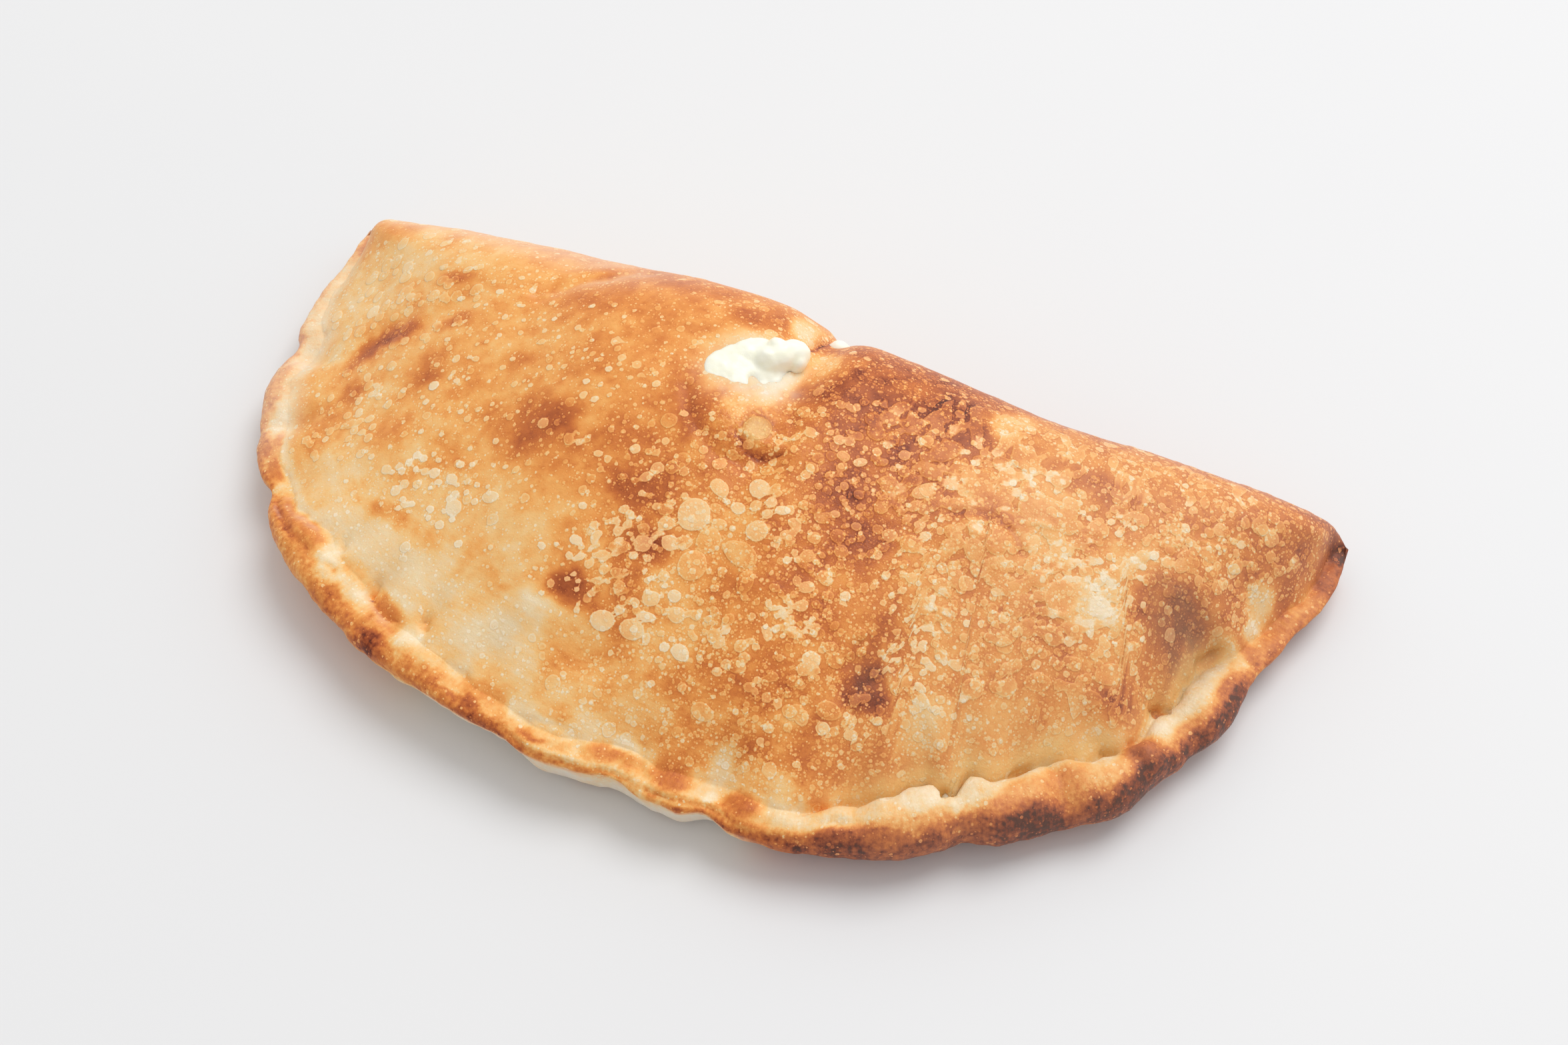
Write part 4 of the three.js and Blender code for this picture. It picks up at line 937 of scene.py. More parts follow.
PLACES = [
    (-103, -41.5, 6.5, 4.6, 12, 0.8), (-110, -46.5, 4.4, 6.5, -20, 0.76),
    (-86, -38.5, 4.8, 3.2, 30, 0.7), (-95, -24, 7, 2.2, 10, 0.6), (-86, -54, 5, 8, 0, 0.62),
    (-105, -61, 3.5, 5.5, -20, 0.58), (-87, -69, 7, 5, 0, 0.5), (-62, -60, 8, 7, 0, 0.44),
    (-72, -66, 9, 5, 0, 0.33), (-109, -68, 6.5, 9, 0, 0.54), (-64, -38, 3.5, 2, 0, 0.62),
    (-50, -64, 13, 8, 0, 0.74), (-74, -38, 10, 7, 0, 0.36), (-58, -17, 6, 6, 0, 0.42),
    (-52, -1, 8, 3, 0, 0.4), (-5, -1.5, 9, 3.5, 0, 0.36), (-11, -18, 7, 4, 0, 0.68),
    (-6, -16, 4.5, 5.5, 0, 0.7), (-70, -75, 8, 6, 0, 0.4), (-42, -92, 9, 6, 0, 0.38),
    (-46, -86, 10, 9, 0, 0.3), (-65, -113, 6, 4, 0, 0.1), (-75, -95, 12, 5, -20, 0.16),
    (-85, -85, 8, 5, -30, 0.25), (-95, -85, 7, 5, -40, 0.2), (-60, -105, 12, 5, -15, 0.14),
    (-40, -112, 10, 5, 0, 0.14), (-85, -103, 10, 5, -30, 0.16), (-30, -104, 5, 3.5, 0, 0.08),
    (-75, -92, 10, 2.5, -15, 0.45), (4, -116, 8, 5, 0, 0.36), (-20, -107, 7, 4, 0, 0.3),
    (-20, -113, 5, 3, 0, 0.42), (-10, -113, 4, 4, 0, 0.4), (-25, -61, 8, 4, 0, 0.62),
    (-15, -65, 5, 4, 0, 0.7), (-17, -72, 8, 6, 0, 0.78), (-12, -85, 7, 5, 0, 0.75),
    (-24, -99, 7, 3.5, 0, 0.86), (-8, -94, 4.5, 4, 0, 0.68), (1, -103, 7, 7, 0, 0.36),
    (9, -74, 6, 7, 0, 0.36), (0, -92, 6, 8, 0, 0.38), (-28, -88, 5, 4, 0, 0.55),
    (14, -88, 4, 4, 0, 0.62), (27, -81, 6, 6, 0, 0.72), (20, -32, 6, 4, 0, 0.85),
    (10, -30, 5, 5, 0, 0.7), (29, -60, 10, 15, 0, 0.76), (37, -62, 5, 4, 0, 0.8),
    (30, -22, 20, 8, -8, 0.84), (34, -20, 4, 5, 0, 0.66), (49, -22, 8, 12, 8, 0.88),
    (42, -50, 6, 8, 30, 0.74), (24, -40, 8, 6, 0, 0.76), (62, -44, 6, 4, 0, 0.7),
    # the thin skin of the mound under the burst, amber where it is glassy
    (-18, -41, 7, 5, 20, 0.66), (-25, -47, 6, 5, 0, 0.48), (-12, -48, 4.5, 6.5, 0, 0.68),
    (-5, -47, 4, 6, 0, 0.5), (6, -46, 5, 5, 0, 0.58), (5, -53.5, 6.5, 2.2, 5, 0.74),
    (-6, -55, 5.5, 3.2, -30, 0.55), (-12, -38.5, 4, 2, 40, 0.45), (2.6, -48.8, 3.6, 4.1, 0, 0.44),
    # scorched dent
    (47.5, -74, 2.2, 6.5, 0, 0.68), (48.5, -81, 2.2, 5, 0, 0.66), (50, -101, 8, 3, 0, 0.5),
    (62, -98, 8, 4, 25, 0.42), (66, -92, 8, 4, 20, 0.3), (50, -97, 6.5, 3.2, 0, 0.78),
    (48.5, -90, 4.4, 6, -25, 0.94), (52, -94.5, 4.6, 3.4, -25, 0.86), (28, -90, 6, 3.5, 0, 0.5),
    (36, -106, 5, 3, 0, 0.46), (28, -114, 6, 3.5, 0, 0.68), (68, -112, 7, 5, 0, 0.74),
    (28, -105, 5, 3, 0, 0.68), (32, -85, 6, 4, 0, 0.66), (30, -100, 6, 4, 0, 0.65),
    # right side
    (72, -38, 7, 5, -5, 0.6), (70, -30, 8, 4, 0, 0.42), (56, -16, 5, 7, 0, 0.3),
    (75, -46, 9, 5, 0, 0.42), (84, -23, 6, 4, 0, 0.7), (91, -52, 7, 6, 0, 0.32),
    (95, -37, 9, 5, 0, 0.4), (101, -77, 9, 6, 0, 0.2), (104, -87, 5, 5, 0, 0.76),
    (85, -64, 5, 6, 0, 0.64), (78, -83, 7, 5, 0, 0.42), (110.5, -44.5, 10, 8.5, -15, 0.86),
    (103, -48, 5, 4, 0, 0.8), (116, -40, 4, 2, 30, 0.74), (113, -47, 4, 2, 10, 0.7),
    (122, -41, 5, 4.5, 0, 0.24), (123, -25, 2.6, 6, -15, 0.26), (120, -33, 4, 6, -15, 0.6),
    (115, -15, 6, 6, 0, 0.7), (114, 4, 12, 4, 0, 0.86), (130, 3, 8, 5, 0, 0.86),
    (131, -17, 3, 5, 0, 0.72), (130, -10, 5, 5, 0, 0.7), (139, 2, 4.5, 6, 0, 0.95),
    (106, -67, 6, 2.5, 0, 0.75),
    # soft wet dough round the burst, and the cream wedge in the notch
    (-5, -31, 12.5, 9, 30, 0.2), (-9, -25, 8, 3.5, 25, 0.18), (-4, -42, 3.2, 4, 0, 0.3),
    (1, -33.5, 4, 6.5, 0, 0.02), (9, -22, 7, 6.5, 0, 0.3), (0.3, -11, 4, 8.5, 0, 0.08),
    (15, -22, 2.4, 7, -10, 0.6),
]

# The same with another last value: how much cheese and whey is smeared round the burst, how ashen
# a scorched spot is, how glassy the mound's window is, and how crowded the finest blisters are.
MILKY = [(-4.5, -33, 12.5, 9.5, 30, 0.55), (-1, -35.5, 4.5, 4, 0, 0.6)]
ASHEN = [(110, -44, 10, 8, -15, 0.5), (116, -40, 4, 2, 30, 0.3), (112, -47, 4.5, 2.2, 10, 0.35),
         (49, -90, 3.8, 4.5, 0, 0.2)]
GLASSY = [(2.6, -48.7, 3.2, 3.7, -20, 1)]
CROWDED = [(-68, -83, 16, 10, 0, 0.5), (5, -78, 26, 24, 0, 0.8), (70, -35, 26, 18, 0, 0.6),
           (-45, -95, 20, 12, 0, 0.1), (-28, -104, 12, 8, 0, 0.05), (-3, -31, 13, 10, 20, 0)]
MOUND = (1, -50, 14, 10)        # x, y and half-widths of the glossy mound under the burst

# Along the rim: how dark the outer side of the roll, its crown, its inner lip and the wall
# under it are; on the front rim the outer side and the wall are partly painted shade.
RIM_OUTER = [(0, 0.5), (10, 0.36), (32, 0.36), (45, 0.52), (70, 0.55), (95, 0.62), (110, 0.6),
             (122, 0.52), (131, 0.52), (143, 0.56), (150, 0.56), (160, 0.86), (170, 0.6),
             (184, 0.62), (191, 0.8), (209, 0.74), (228, 0.7), (244, 0.82), (261, 0.88),
             (276, 0.86), (290, 0.88), (302, 0.86), (316, 0.76), (333, 0.92), (345, 0.9),
             (362, 0.96), (381, 0.94), (392, 0.97), (409, 0.66), (430, 0.6), (450, 0.75)]
RIM_CROWN = [(0, 0.45), (12, 0.24), (36, 0.22), (47, 0.22), (60, 0.42), (74, 0.15), (90, 0.32),
             (105, 0.45), (118, 0.55), (133, 0.25), (146, 0.25), (158, 0.52), (168, 0.25),
             (185, 0.42), (200, 0.4), (215, 0.32), (230, 0.42), (245, 0.6), (254, 0.22),
             (261, 0.6), (272, 0.22), (285, 0.2), (300, 0.22), (316, 0.1), (330, 0.44),
             (343, 0.46), (352, 0.3), (366, 0.66), (375, 0.22), (390, 0.36), (402, 0.22),
             (410, 0.5), (420, 0.45), (435, 0.5), (450, 0.6)]
RIM_LIP = [(0, 0.35), (12, 0.22), (60, 0.22), (100, 0.16), (140, 0.2), (156, 0.42), (170, 0.18),
           (210, 0.15), (250, 0.17), (262, 0.28), (285, 0.08), (300, 0.02), (330, 0.03),
           (345, 0.08), (358, 0.03), (366, 0.3), (374, 0.04), (390, 0.06), (402, 0.06), (412, 0.3),
           (430, 0.5), (450, 0.6)]
LIP_FADE = [(0, 4), (200, 4), (270, 3), (295, 1.2), (400, 1.2), (412, 4), (450, 4)]
RIM_UNDER_AND_SHADE = [(0, 0.5), (150, 0.5), (175, 0.2), (258, 0.15), (270, 0.7), (300, 0.85), (400, 0.85),
             (450, 0.7)]
# Where the dough is pale and oily just behind the lip; its khaki oil tint there is partly painted
# shade in the crease.
OILY = [(0, 0), (278, 0), (292, 0.7), (312, 0.8), (345, 0.9), (362, 0.9), (368, 0.3), (374, 0.4),
        (384, 0.7), (404, 0.6), (410, 0), (450, 0)]
# How floury the rolled edge still is, and where the wall under it is raw and floury.
DUSTY = [(0, 0.2), (20, 0.35), (75, 0.3), (100, 0), (450, 0)]
FLOURY = [(0, 0), (165, 0), (182, 1), (258, 1), (270, 0), (450, 0)]
# Single places of the rim: at, distance in from its edge, half-widths, turn, level.
RIM_SPOTS = [
    (4, 3, 4, 2, 0, 0.6), (47, 5, 2, 4, 0, 0.15), (57, 3.5, 7, 1.4, -10, 0.5),
    (69, 3.2, 4, 1.9, 0, 0.58), (74, 6, 4, 2, 0, 0.1), (85, 2.5, 4, 1.4, 0, 0.7),
    (83, 5.5, 5, 1.3, -8, 0.55), (89, 7, 6, 1.3, 0, 0.16), (92, 4, 4, 1.6, 0, 0.6),
    (96, 2.5, 4, 2.5, 0, 0.62), (100, 3, 2.5, 3, 0, 0.22), (110, 5, 7, 2.4, 10, 0.6),
    (120, 7.8, 7, 2.6, 14, 0.58), (126, 8, 4, 2.5, 0, 0.55), (117, 11, 9, 1.1, 10, 0.16),
    (108, 8, 6, 1.3, 15, 0.14), (122, 1.8, 12, 1.8, 0, 0.5), (131, 3.2, 5, 1.6, 0, 0.5),
    (143, 2.8, 5, 2.6, 0, 0.66), (150, 2.5, 4, 2.4, 0, 0.6), (133, 8.2, 4.2, 3.5, -35, 0.05),
    (146.5, 8.2, 3.2, 2.4, 0, 0.08), (167.5, 7.6, 3.5, 2.7, -20, 0.08),
    (175, 6.2, 3.4, 1.9, -20, 0.26), (140, 11, 4.5, 2.2, 0, 0.34), (156, 11, 6.5, 1.9, -6, 0.6),
    (156, 10.3, 5, 1.2, 0, 0.6), (149.6, 10.2, 0.9, 0.5, 0, 0.85), (158.5, 6.2, 4.5, 1.6, 0, 0.5),
    (160.5, 2.6, 4, 2, 0, 0.86), (170, 2.6, 4, 1.8, 0, 0.6), (169.5, 3, 1.8, 1, 0, 0.35),
    (178, 3, 4, 1.6, 0, 0.55), (184, 1.6, 6, 1.2, 0, 0.62), (191, 2.6, 2.4, 1.8, 0, 0.8),
    (193, 6.5, 7, 2.8, 0, 0.5), (202, 6, 2.6, 2.4, 0, 0.14), (209, 3.3, 5, 1.3, 0, 0.66),
    (213, 5.6, 6, 1.8, 0, 0.3), (210, 8, 6, 0.9, 0, 0.12), (221, 4.5, 2, 2, 0, 0.2),
    (228, 5.2, 5, 2.4, 0, 0.58), (222, 10.5, 5, 3, 0, 0.18), (231, 8, 2.4, 2, 0, 0.12),
    (244, 7, 7, 4.2, 0, 0.66), (236.5, 3.5, 3, 1.6, -45, 0.3), (253.8, 9, 1.6, 6, 0, 0.14),
    (254.2, 4, 1.2, 1.4, 0, 0.06), (261, 6, 4.6, 3.2, 0, 0.68), (261, 11.5, 5, 2, 0, 0.35),
    (272.5, 6.5, 5, 3, 0, 0.12), (270, 12, 5, 3, 0, 0.25), (281, 10.5, 3, 3, 0, 0.55),
    (290, 11, 5, 3.5, 0, 0.2), (286, 5.2, 3, 1.4, 0, 0.04), (235, 1, 34, 1.4, 0, 0.3),
    (302, 4, 8, 2, 0, 0.38), (304, 10.5, 7, 3, 0, 0.07), (324, 11.5, 4, 2.4, 0, 0.08),
    (296, 2, 8, 1.5, 0, 0.72), (316, 8, 2.5, 4, 0, 0.08), (325, 4.5, 5, 2.5, 0, 0.6),
    (330, 8.5, 3.5, 2, 0, 0.45), (333, 1.4, 12, 1.8, 0, 0.96), (342, 6, 4, 5, 0, 0.5),
    (352, 6, 7, 3, 0, 0.38), (362, 1.6, 8, 1.9, 0, 0.96), (366, 6.8, 3.4, 5, 0, 0.76),
    (375, 8.5, 4, 3.5, 10, 0.05), (380, 4.5, 6, 2, 0, 0.55), (381, 1.8, 5, 1.5, 0, 0.86),
    (388, 9, 9, 2.2, 0, 0.08), (392, 1.8, 6, 1.8, 0, 0.98), (398, 4, 5, 2, 0, 0.68),
    (402, 8.5, 4, 2.2, 0, 0.06), (407, 5, 1.6, 3.5, 0, 0.2), (410, 6, 2.2, 5, 0, 0.58),
    (415, 8.2, 3, 1.6, 0, 0.08), (421, 9, 4, 1.5, 0, 0.2), (420, 4, 8, 2.5, 0, 0.6),
    (428, 7, 5, 1.6, 10, 0.74), (442, 3, 6, 3, 0, 0.78), (449, 2, 3, 4, 0, 0.97),
]


def toward(level, u, v, areas, sharpness):
    """Moves the level at (u, v) towards that of each area within its soft edge."""
    for x, y, rx, ry, turn, goal in areas:
        a, b = turned(u - x, v - y, turn)
        reach = np.sqrt((a / rx) ** 2 + (b / ry) ** 2)
        level = level + (goal - level) * np.exp(-reach ** sharpness)
    return level


def bake_level(points, normal, spot):
    """How dark each point is baked: 0 raw cream, 0.5 orange, 1 nearly black, with painted shade added
    under the front rim and in pits and grooves.
    """
    sway = [layers_of(points, AREA_SWAY, k) for k in (1, 2)]
    x, y = points[:, 0] + sway[0], points[:, 1] + sway[1]
    level = toward(np.full(len(points), BASE_LEVEL), x, y, AREAS, 2)
    x, y = points[:, 0] + 0.5 * sway[0], points[:, 1] + 0.5 * sway[1]
    level = toward(level, x, y, PLACES, 3)
    level = level + layers_of(points, MOTTLE) * smooth_step(level, -0.05, 0.35)
    # the back of the fold fades to gold near the table
    under = smooth_step(spot["edge"] - points[:, 2], 0.6, 2.2)
    behind = np.maximum(smooth_step(normal[:, 1], 0.35, 0.85) * (spot["inward"] > 8),
                        under * (spot["share"] > 0.5))
    fold = (FOLD_LEVEL + FOLD_RISE * smooth_step(points[:, 2], 6, 40)
            + FOLD_RIGHT * smooth_step(points[:, 0], -10, 50))
    level = level + (fold - level) * behind
    # the rim: brown on its outer side, darker on the front partly as painted shade, pale on its inner
    # lip and in the crease
    at = spot["at"] + layers_of(points, RIM_SWAY)
    inward = spot["inward"] + layers_of(points, INWARD_SWAY)
    across = inward / spot["width"]
    roll, crown, lip = (along(stations, at) for stations in (RIM_OUTER, RIM_CROWN, RIM_LIP))
    roll = roll + (crown - roll) * smooth_step(across, 0.12, 0.5)
    roll = roll + (lip - roll) * smooth_step(across, 0.6, 0.95)
    roll = roll + layers_of(points, ROLL_MOTTLE)
    past = inward - spot["width"]
    on_roll = 1 - smooth_step(past, 0.3, 0.3 + along(LIP_FADE, at))
    level = level + (roll - level) * on_roll
    level = toward(level, at, inward, RIM_SPOTS, 3.5)
    oily = along(OILY, at) * np.exp(-((past - 1.8) / 2.4) ** 2)
    level = level + (OILY_LEVEL + 0.06 * wobble(points, 3, 37) - level) * oily
    # darker along the lines: partly browned folds, partly painted shade in the pits and grooves
    level = level + all_lines(points, spot)[1]
    # the wall under the rim: from 270 on it is darker, partly browned underside and partly painted
    # shade under the overhanging rim
    wall_and_shade = along(RIM_UNDER_AND_SHADE, at) + 0.06 * wobble(points, 5, 35)
    level = level + (wall_and_shade - level) * under * (spot["share"] < 0.5)
    bottom = smooth_step(-points[:, 2], -1.2, -0.2)
    return level + (BOTTOM_LEVEL - level) * bottom


def unsteady(points, size, shift, least=0.8, swing=0.5):
    """A share from 0 to 1 that wanders, for smears and dustings."""
    return np.clip(least + swing * wobble(points, size, shift), 0, 1)


shell = corners(crust.data)
facing = normals(crust.data)
spot = place(shell[:, 0], shell[:, 1])
across = spot["inward"] / spot["width"]
x, y, z = shell.T
level = bake_level(shell, facing, spot)
far, tone, _ = blister_field(shell, blisters)

# the mound under the burst is glossy, and crowds of fine blisters thin out at the roll
mound_x, mound_y, rx, ry = MOUND
gloss = 1 - smooth_step(np.hypot((x - mound_x) / rx, (y - mound_y) / ry), 0.6, 1.2)
crowded = np.clip(0.2 + 0.6 * smooth_step(x, -35, 20) - 0.1 * gloss, 0, 1)
crowded = toward(crowded, x, y, CROWDED, 3) * smooth_step(across, 0.9, 1.5)
ash = toward(0 * level, x + 2 * wobble(shell, 4, 3), y + 2 * wobble(shell, 4, 5), ASHEN, 3)

# oil lies behind the lip and in the mound's window; behind the lip its tint is partly painted shade
# in the crease
past = spot["inward"] + 0.8 * wobble(shell, 2.4, 33) - spot["width"]
oil_and_crease_shade = along(OILY, spot["at"]) * np.exp(-((past - 2) / 2.6) ** 2)
oil_and_crease_shade = toward(oil_and_crease_shade, x, y, GLASSY, 8)

# flour stays on the wall under the front rim and on the left rim; the paler back-facing left of the
# fold is a painted sheen
raw = smooth_step(spot["edge"] - z, 0.8, 2) * (spot["share"] < 0.5)
raw *= along(FLOURY, spot["at"]) * unsteady(shell, 4, 41)
# painted sheen: paler on the back-facing left of the fold, as if the light behind grazed it
dust_and_sheen = 0.3 * smooth_step(facing[:, 1], 0.1, 0.6) * smooth_step(-x, 20, 60)
dust_and_sheen += along(DUSTY, spot["at"]) * (1 - smooth_step(across, 1, 2))
milky = toward(0 * level, x + 1.5 * wobble(shell, 3, 51), y, MILKY, 4)
flour_and_sheen = np.maximum.reduce([raw, dust_and_sheen, milky * unsteady(shell, 1.6, 52, swing=0.6)])

LAYERS = {"oil_and_crease_shade": oil_and_crease_shade, "bake": level, "edge": far, "pale": tone, "gloss": gloss,
          "crowded": crowded, "ash": ash, "flour_and_sheen": flour_and_sheen}
for name, values in LAYERS.items():
    layer = crust.data.attributes.new(name, "FLOAT", "POINT")
    layer.data.foreach_set("value", values.astype(np.float32))
layer = crust.data.attributes.new("rim_way", "FLOAT_VECTOR", "POINT")
rim_way = np.stack([spot["at"], spot["inward"], across], 1)
layer.data.foreach_set("vector", rim_way.astype(np.float32).ravel())

# ---------------------------------------------------------------------------------------------
# Crust: its material
# Cream dough turning gold, orange and brown with the level of baking, a little glossy from
# steam and oil. Blisters are paler; the finest of them and the grain of the dough are only here.
# ---------------------------------------------------------------------------------------------

# Colours, as red, green and blue from 0 to 255. The dough's go with its level of baking.
DOUGH = [(0.0, (244, 226, 194)), (0.12, (238, 211, 166)), (0.28, (242, 194, 126)),
         (0.40, (240, 173, 96)), (0.50, (231, 151, 75)), (0.60, (215, 128, 59)),
         (0.70, (196, 107, 50)), (0.80, (172, 88, 43)), (0.90, (134, 58, 27)),
         (1.0, (80, 34, 20))]
BLISTER_CREAM = (252, 234, 208)
ASHEN_BROWN = (136, 92, 60)
RIGHT_SIDE_SHADE_GREY = (190, 176, 160)          # painted shade: a little of it greys the dough right of the middle, where less light falls
OIL_GOLD_AND_CREASE_SHADE = (224, 192, 126)
FLOUR_AND_SHEEN_WHITE = (236, 226, 212)
# Blisters too fine for the mesh: size, share of the cells that hold one, shift, rise.
SPECKS = [(0.6, 0.4, 6, 0.015), (1.1, 0.5, 3, 0.025), (1.8, 0.5, 2, 0.04), (2.8, 0.4, 1, 0.06),
          (4.2, 0.18, 5, 0.08)]
FINE_SIZE = 1.5                 # cells smaller than this hold more of them, by this share:
EXTRA_FINE = 0.25


def paint(rgb):
    """A colour given in the usual 0 to 255 values, as the shader wants it."""
    return tuple(((c / 255 + 0.055) / 1.055) ** 2.4 for c in rgb) + (1.0,)


class Line:
    """One output of a material's nodes, for writing shader maths as expressions."""

    tree = None

    def __init__(self, socket):
        self.socket = socket

    @classmethod
    def node(cls, kind, inputs=(), out=0, **settings):
        made = cls.tree.nodes.new("ShaderNode" + kind)
        for key, value in settings.items():
            setattr(made, key, value)
        cls.plug(made, dict(inputs))
        return cls(made.outputs[out])

    @classmethod
    def plug(cls, made, inputs):
        """Gives each input of a node its line or its plain value."""
        for key, given in inputs.items():
            if isinstance(given, Line):
                cls.tree.links.new(given.socket, made.inputs[key])
            else:
                made.inputs[key].default_value = given

    @classmethod
    def math(cls, operation, *values, clamped=False):
        return cls.node("Math", enumerate(values), operation=operation, use_clamp=clamped)

    @classmethod
    def mix(cls, share, a, b):
        return cls.node("Mix", {0: share, 6: a, 7: b}, out=2, data_type="RGBA")

    @classmethod
    def ramp(cls, share, stops):
        line = cls.node("ValToRGB", {0: share})
        bar = line.socket.node.color_ramp
        while len(bar.elements) < len(stops):
            bar.elements.new(1)
        for stop, (at, colour) in zip(bar.elements, stops):
            stop.position, stop.color = at, colour
        return line

    def __add__(self, other):
        return Line.math("ADD", self, other)

    def __radd__(self, other):
        return Line.math("ADD", other, self)

    def __sub__(self, other):
        return Line.math("SUBTRACT", self, other)

    def __rsub__(self, other):
        return Line.math("SUBTRACT", other, self)

    def __mul__(self, other):
        return Line.math("MULTIPLY", self, other)

    def __rmul__(self, other):
        return Line.math("MULTIPLY", other, self)

    def __truediv__(self, other):
        return Line.math("DIVIDE", self, other)

    def clamp(self):
        return Line.math("ADD", self, 0.0, clamped=True)

    def step(self, low, high):
        """0 below low, 1 above high, smooth between."""
        return Line.node("MapRange", {0: self, 1: low, 2: high}, interpolation_type="SMOOTHSTEP")


def new_material(name):
    material = bpy.data.materials.new(name)
    material.use_nodes = True
    Line.tree = material.node_tree
    return material, material.node_tree.nodes["Principled BSDF"]


def place_in(size, shift=0.0):
    """Object coordinates in lumps of size millimetres."""
    where = Line.node("TexCoord", out=3)
    moved = Line.node("VectorMath", {0: where, 1: (1 / size / MILLIMETRE,) * 3, 2: (shift,) * 3},
                      operation="MULTIPLY_ADD")
    return moved


def noise(where, detail=2.0):
    """Noise about 0, between -1 and 1."""
    line = Line.node("TexNoise", {"Vector": where, "Scale": 1.0, "Detail": detail,
                                  "Roughness": 0.55})
    return (line - 0.5) * 2.0


def grain(size, shift=0.0, detail=2.0):
    """Noise with lumps of size millimetres."""
    return noise(place_in(size, shift), detail)


def value(name):
    return Line.node("Attribute", out=2, attribute_name=name)


def part(vector, k):
    return Line.node("SeparateXYZ", {0: vector}, out=k)


def specks(size, amount, shift):
    """Round specks, one to a cell of size millimetres: distance out of each one's edge, which
    of them are there, and how pale each is."""
    sway = Line.node("TexNoise", {"Vector": place_in(size * 0.8, shift), "Scale": 1.0}, out=1)
    spot_at = Line.node("VectorMath", {0: sway, 1: (0.4,) * 3, 2: place_in(size, shift)},
                        operation="MULTIPLY_ADD")
    cell = Line.node("TexVoronoi", {"Vector": spot_at, "Scale": 1.0, "Randomness": 1.0})
    chance = Line(cell.socket.node.outputs["Color"])
    parts = Line.node("SeparateColor", {0: chance})
    red, green, blue = (Line(parts.socket.node.outputs[k]) for k in range(3))
    there = Line.math("LESS_THAN", green, amount)
    return (cell - (0.22 + 0.28 * red)) * size, there, 0.12 + 0.6 * blue * blue


def blistered(level, cream, edge, there, tone):
    """Paints a blister over the level of baking and over the share of cream, with a lighter ring
    inside its edge as a painted highlight and a painted shade just outside it.
    """
    inside = edge.step(0.13, -0.13) * there
    ring = inside * edge.step(-0.5, -0.15)
    rim_shade = (edge.step(0.5, 0.05) - edge.step(0.13, -0.13)).clamp() * there
    lighter = inside * tone
    # the lighter ring inside the edge is a painted highlight, rim_shade a painted shade just outside
    # it
    level = level - lighter * (0.08 + 0.42 * level) - 0.09 * ring + 0.04 * rim_shade
    return level, Line.math("MAXIMUM", cream * (1.0 - inside), lighter), inside


matter, shader = new_material("baked_dough")

# level of baking: mottled all over, ribbed on the roll, with fibres of stretched dough behind it
bake, edge, pale, wet, ashen = (value(name) for name in ("bake", "edge", "pale", "gloss", "ash"))
crowd, flour_and_sheen_share = value("crowded"), value("flour_and_sheen")
rim_way = Line.node("Attribute", out=1, attribute_name="rim_way")
at_rim = part(rim_way, 2).step(1.35, 0.9)
ribs = noise(Line.node("VectorMath", {0: rim_way, 1: (0.75, 0.16, 0)}, operation="MULTIPLY"), 3.0)
fibres = noise(Line.node("VectorMath", {0: rim_way, 1: (0.09, 0.8, 0)}, operation="MULTIPLY"), 3.0)
stretched = part(rim_way, 0).step(95, 125) * part(rim_way, 0).step(290, 265)
stretched = stretched * part(rim_way, 1).step(42, 24) * (1.0 - at_rim)
fine = 0.11 * grain(2.4, 2, 6.0) + 0.09 * grain(0.9, 3, 4.0)
outer = at_rim * part(rim_way, 2).step(0.75, 0.2)
level_line = bake + fine * (0.6 + 0.6 * at_rim) + 0.2 * grain(1.0, 11, 5.0) * wet
level_line = level_line + 0.3 * grain(1.3, 9, 6.0) * outer + 0.13 * ribs * at_rim
level_line = level_line + 0.11 * fibres * stretched
level_line = level_line.clamp()

# blisters from the finest to the largest, those of the mesh last
cream, height = 0.0 * bake, 0.0 * bake
for size, amount, shift, up in SPECKS:
    more = EXTRA_FINE if size < FINE_SIZE else 0
    around, there, tone_line = specks(size, amount * (crowd + more), shift)
    level_line, cream, inside = blistered(level_line, cream, around, there, tone_line)
    height = height + up * inside
around = edge + 0.2 * grain(1.3, 4)
level_line, cream, inside = blistered(level_line, cream, around, 1.0 + 0.0 * bake, pale)
height = height + 0.08 * inside

# colours laid over each other, then the sheen and the finest relief
colour = Line.ramp(level_line.clamp(), [(at, paint(rgb)) for at, rgb in DOUGH])
colour = Line.mix(cream * cream * 0.25, colour, paint(BLISTER_CREAM))
colour = Line.mix((ashen * (1.0 + 0.9 * grain(3, 14, 4.0))).clamp(), colour, paint(ASHEN_BROWN))
# painted shade: grey laid over the dough right of the middle, from 30 to 75 mm across
colour = Line.mix(0.1 * part(place_in(1), 0).step(30, 75), colour, paint(RIGHT_SIDE_SHADE_GREY))
# khaki gold: the oil's own tan in the mound's window, and painted shade in the crease behind the lip
colour = Line.mix(0.5 * value("oil_and_crease_shade"), colour, paint(OIL_GOLD_AND_CREASE_SHADE))
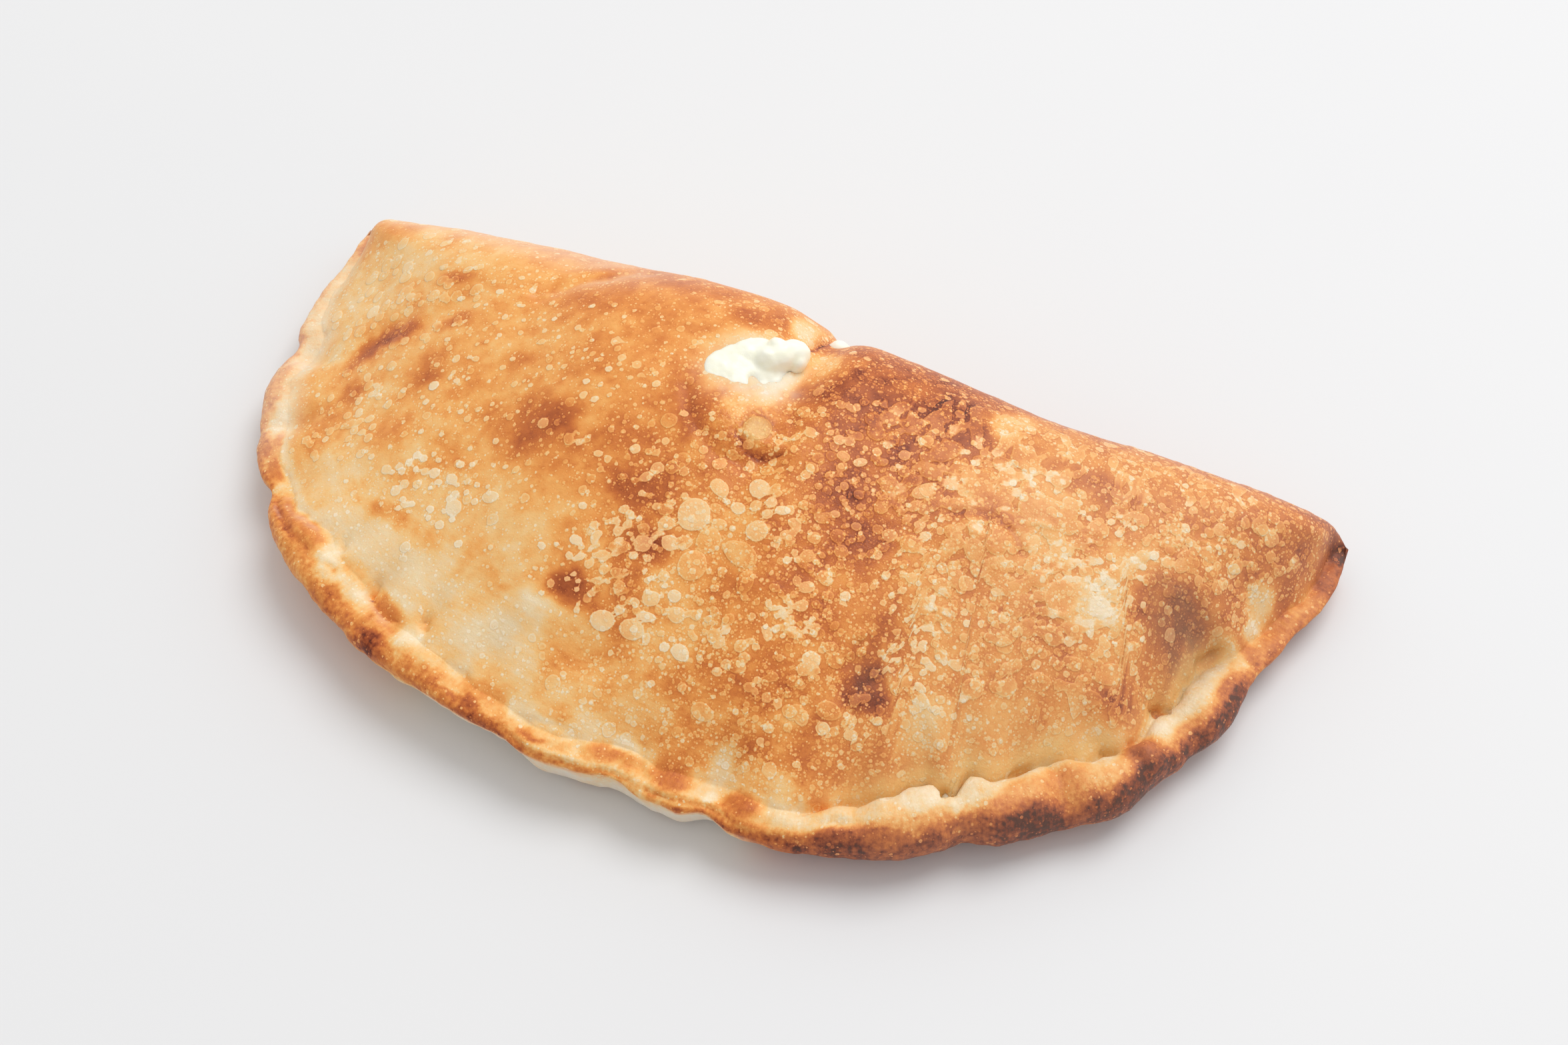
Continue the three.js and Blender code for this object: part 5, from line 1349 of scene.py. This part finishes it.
# flour white, which also paints the sheen on the back of the fold
colour = Line.mix(0.8 * flour_and_sheen_share, colour, paint(FLOUR_AND_SHEEN_WHITE))
rough = (0.38 - 0.08 * cream + 0.1 * grain(2, 6) - 0.18 * wet + 0.08 * at_rim).clamp()
height = height + (0.05 + 0.07 * wet) * grain(1.4, 7) + 0.045 * grain(0.42, 8)
height = height + (0.07 * ribs + 0.1 * grain(1.7, 15, 4.0)) * at_rim
bump = Line.node("Bump", {"Strength": 1.0, "Distance": MILLIMETRE, "Height": height})
Line.plug(shader, {"Base Color": colour, "Roughness": rough, "Normal": bump,
                   "Subsurface Weight": 0.12, "Subsurface Radius": (1.0, 0.5, 0.25),
                   "Subsurface Scale": 0.002, "Specular IOR Level": 0.24})


FOOTPRINT = np.array([-0.107, -62.372, 0])      # middle of the plain shape, tips on the X axis
SHARP_ANGLE = 70        # only edges bent by more than this stay sharp


def finish_piece(piece, material, node):
    """Puts a finished mesh, in millimetres and with its tips on the X axis, in the frame."""
    low, high = (np.array(v) for v in (cad_low, cad_high))
    shift = (low + high) / 2 / MILLIMETRE - FOOTPRINT
    piece.data.transform(Matrix.Diagonal((MILLIMETRE,) * 3 + (1,))
                         @ Matrix.Translation((shift[0], shift[1], 0)))
    piece.data.shade_smooth()
    piece.data.set_sharp_from_angle(angle=math.radians(SHARP_ANGLE))
    piece.data.materials.clear()
    piece.data.materials.append(material)
    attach(piece, "root")
    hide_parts(node)


finish_piece(crust, matter, "crust")

# ---------------------------------------------------------------------------------------------
# Ricotta: its material
# Milk white with a breath of cream, finely lumpy and moist, so light sinks into it and a thin
# film of whey shines on top.
# ---------------------------------------------------------------------------------------------

CURD_WHITE, WHEY_CREAM = (255, 254, 238), (253, 248, 219)

matter, shader = new_material("moist_ricotta")
lumpy = grain(1.6, 1, 3.0)
colour = Line.mix((0.5 + 0.5 * grain(3, 2)).clamp(), paint(CURD_WHITE), paint(WHEY_CREAM))
rough = (0.38 + 0.12 * lumpy).clamp()
bump = Line.node("Bump", {"Strength": 1.0, "Distance": MILLIMETRE,
                          "Height": 0.06 * lumpy + 0.015 * grain(0.5, 3)})
Line.plug(shader, {"Base Color": colour, "Roughness": rough, "Normal": bump,
                   "Subsurface Weight": 0.5, "Subsurface Radius": (1.0, 1.0, 0.95),
                   "Subsurface Scale": 0.002, "Coat Weight": 0.15})
finish_piece(cheese, matter, "ricotta")

# ---------------------------------------------------------------------------------------------
# Table, light and camera
# The calzone lies on a plain, almost white table. Soft light fills the room, stronger from
# behind, where a broad window above it throws a faint shadow towards the eye.
# ---------------------------------------------------------------------------------------------

TABLE_HALF = 3                          # metres
TABLE_GREY, TABLE_WHITE = (225, 225, 226), (229, 229, 229)
SKY_STRENGTH, SKY_SLOPE = 0.75, 0.26    # brightness of the room, and how much more there is behind
BEHIND = (0.1, 0.99, 0)
WINDOW_WATTS, WINDOW_WIDTH = 31, 1.8
WINDOW_PLACE = (0.45, 1.2, 2.25)        # metres
EYE = (141.88, -348.86, 441.14)         # millimetres, before the shape is put in the frame
LOOK_AT = (4.749, -38.046, 0)
LENS, SENSOR_WIDTH = 50, 36

bm = bmesh.new()
bmesh.ops.create_grid(bm, x_segments=1, y_segments=1, size=TABLE_HALF)
table_top = as_object("table_top", bm)
matter, shader = new_material("pale_table")
tint = Line.mix((0.5 + 0.5 * grain(220, 1)).clamp(), paint(TABLE_GREY), paint(TABLE_WHITE))
Line.plug(shader, {"Base Color": tint, "Roughness": 0.6})
table_top.data.materials.append(matter)

sky = bpy.data.worlds.new("sky")
bpy.context.scene.world = sky
sky.use_nodes = True
Line.tree = sky.node_tree
behind = Line.node("VectorMath", {0: Line.node("TexCoord", out=0), 1: BEHIND}, out=1,
                   operation="DOT_PRODUCT")
glow = SKY_STRENGTH * (1.0 + SKY_SLOPE * behind)
Line.plug(sky.node_tree.nodes["Background"], {"Color": (1, 1, 1, 1), "Strength": glow})

lamp = bpy.data.lights.new("window", "AREA")
lamp.energy, lamp.shape, lamp.size = WINDOW_WATTS, "DISK", WINDOW_WIDTH
window = bpy.data.objects.new("window", lamp)
window.location = WINDOW_PLACE
window.rotation_euler = (-window.location).to_track_quat("-Z", "Y").to_euler()

camera = bpy.data.objects.new("camera", bpy.data.cameras.new("camera"))
camera.data.lens, camera.data.sensor_width = LENS, SENSOR_WIDTH
eye, look_at = ((Vector(p) - Vector(FOOTPRINT)) * MILLIMETRE for p in (EYE, LOOK_AT))
camera.location = eye
camera.rotation_euler = (look_at - eye).to_track_quat("-Z", "Y").to_euler()
for thing in (window, camera):
    bpy.context.scene.collection.objects.link(thing)
bpy.context.scene.camera = camera
bpy.context.scene.view_settings.view_transform = "Standard"
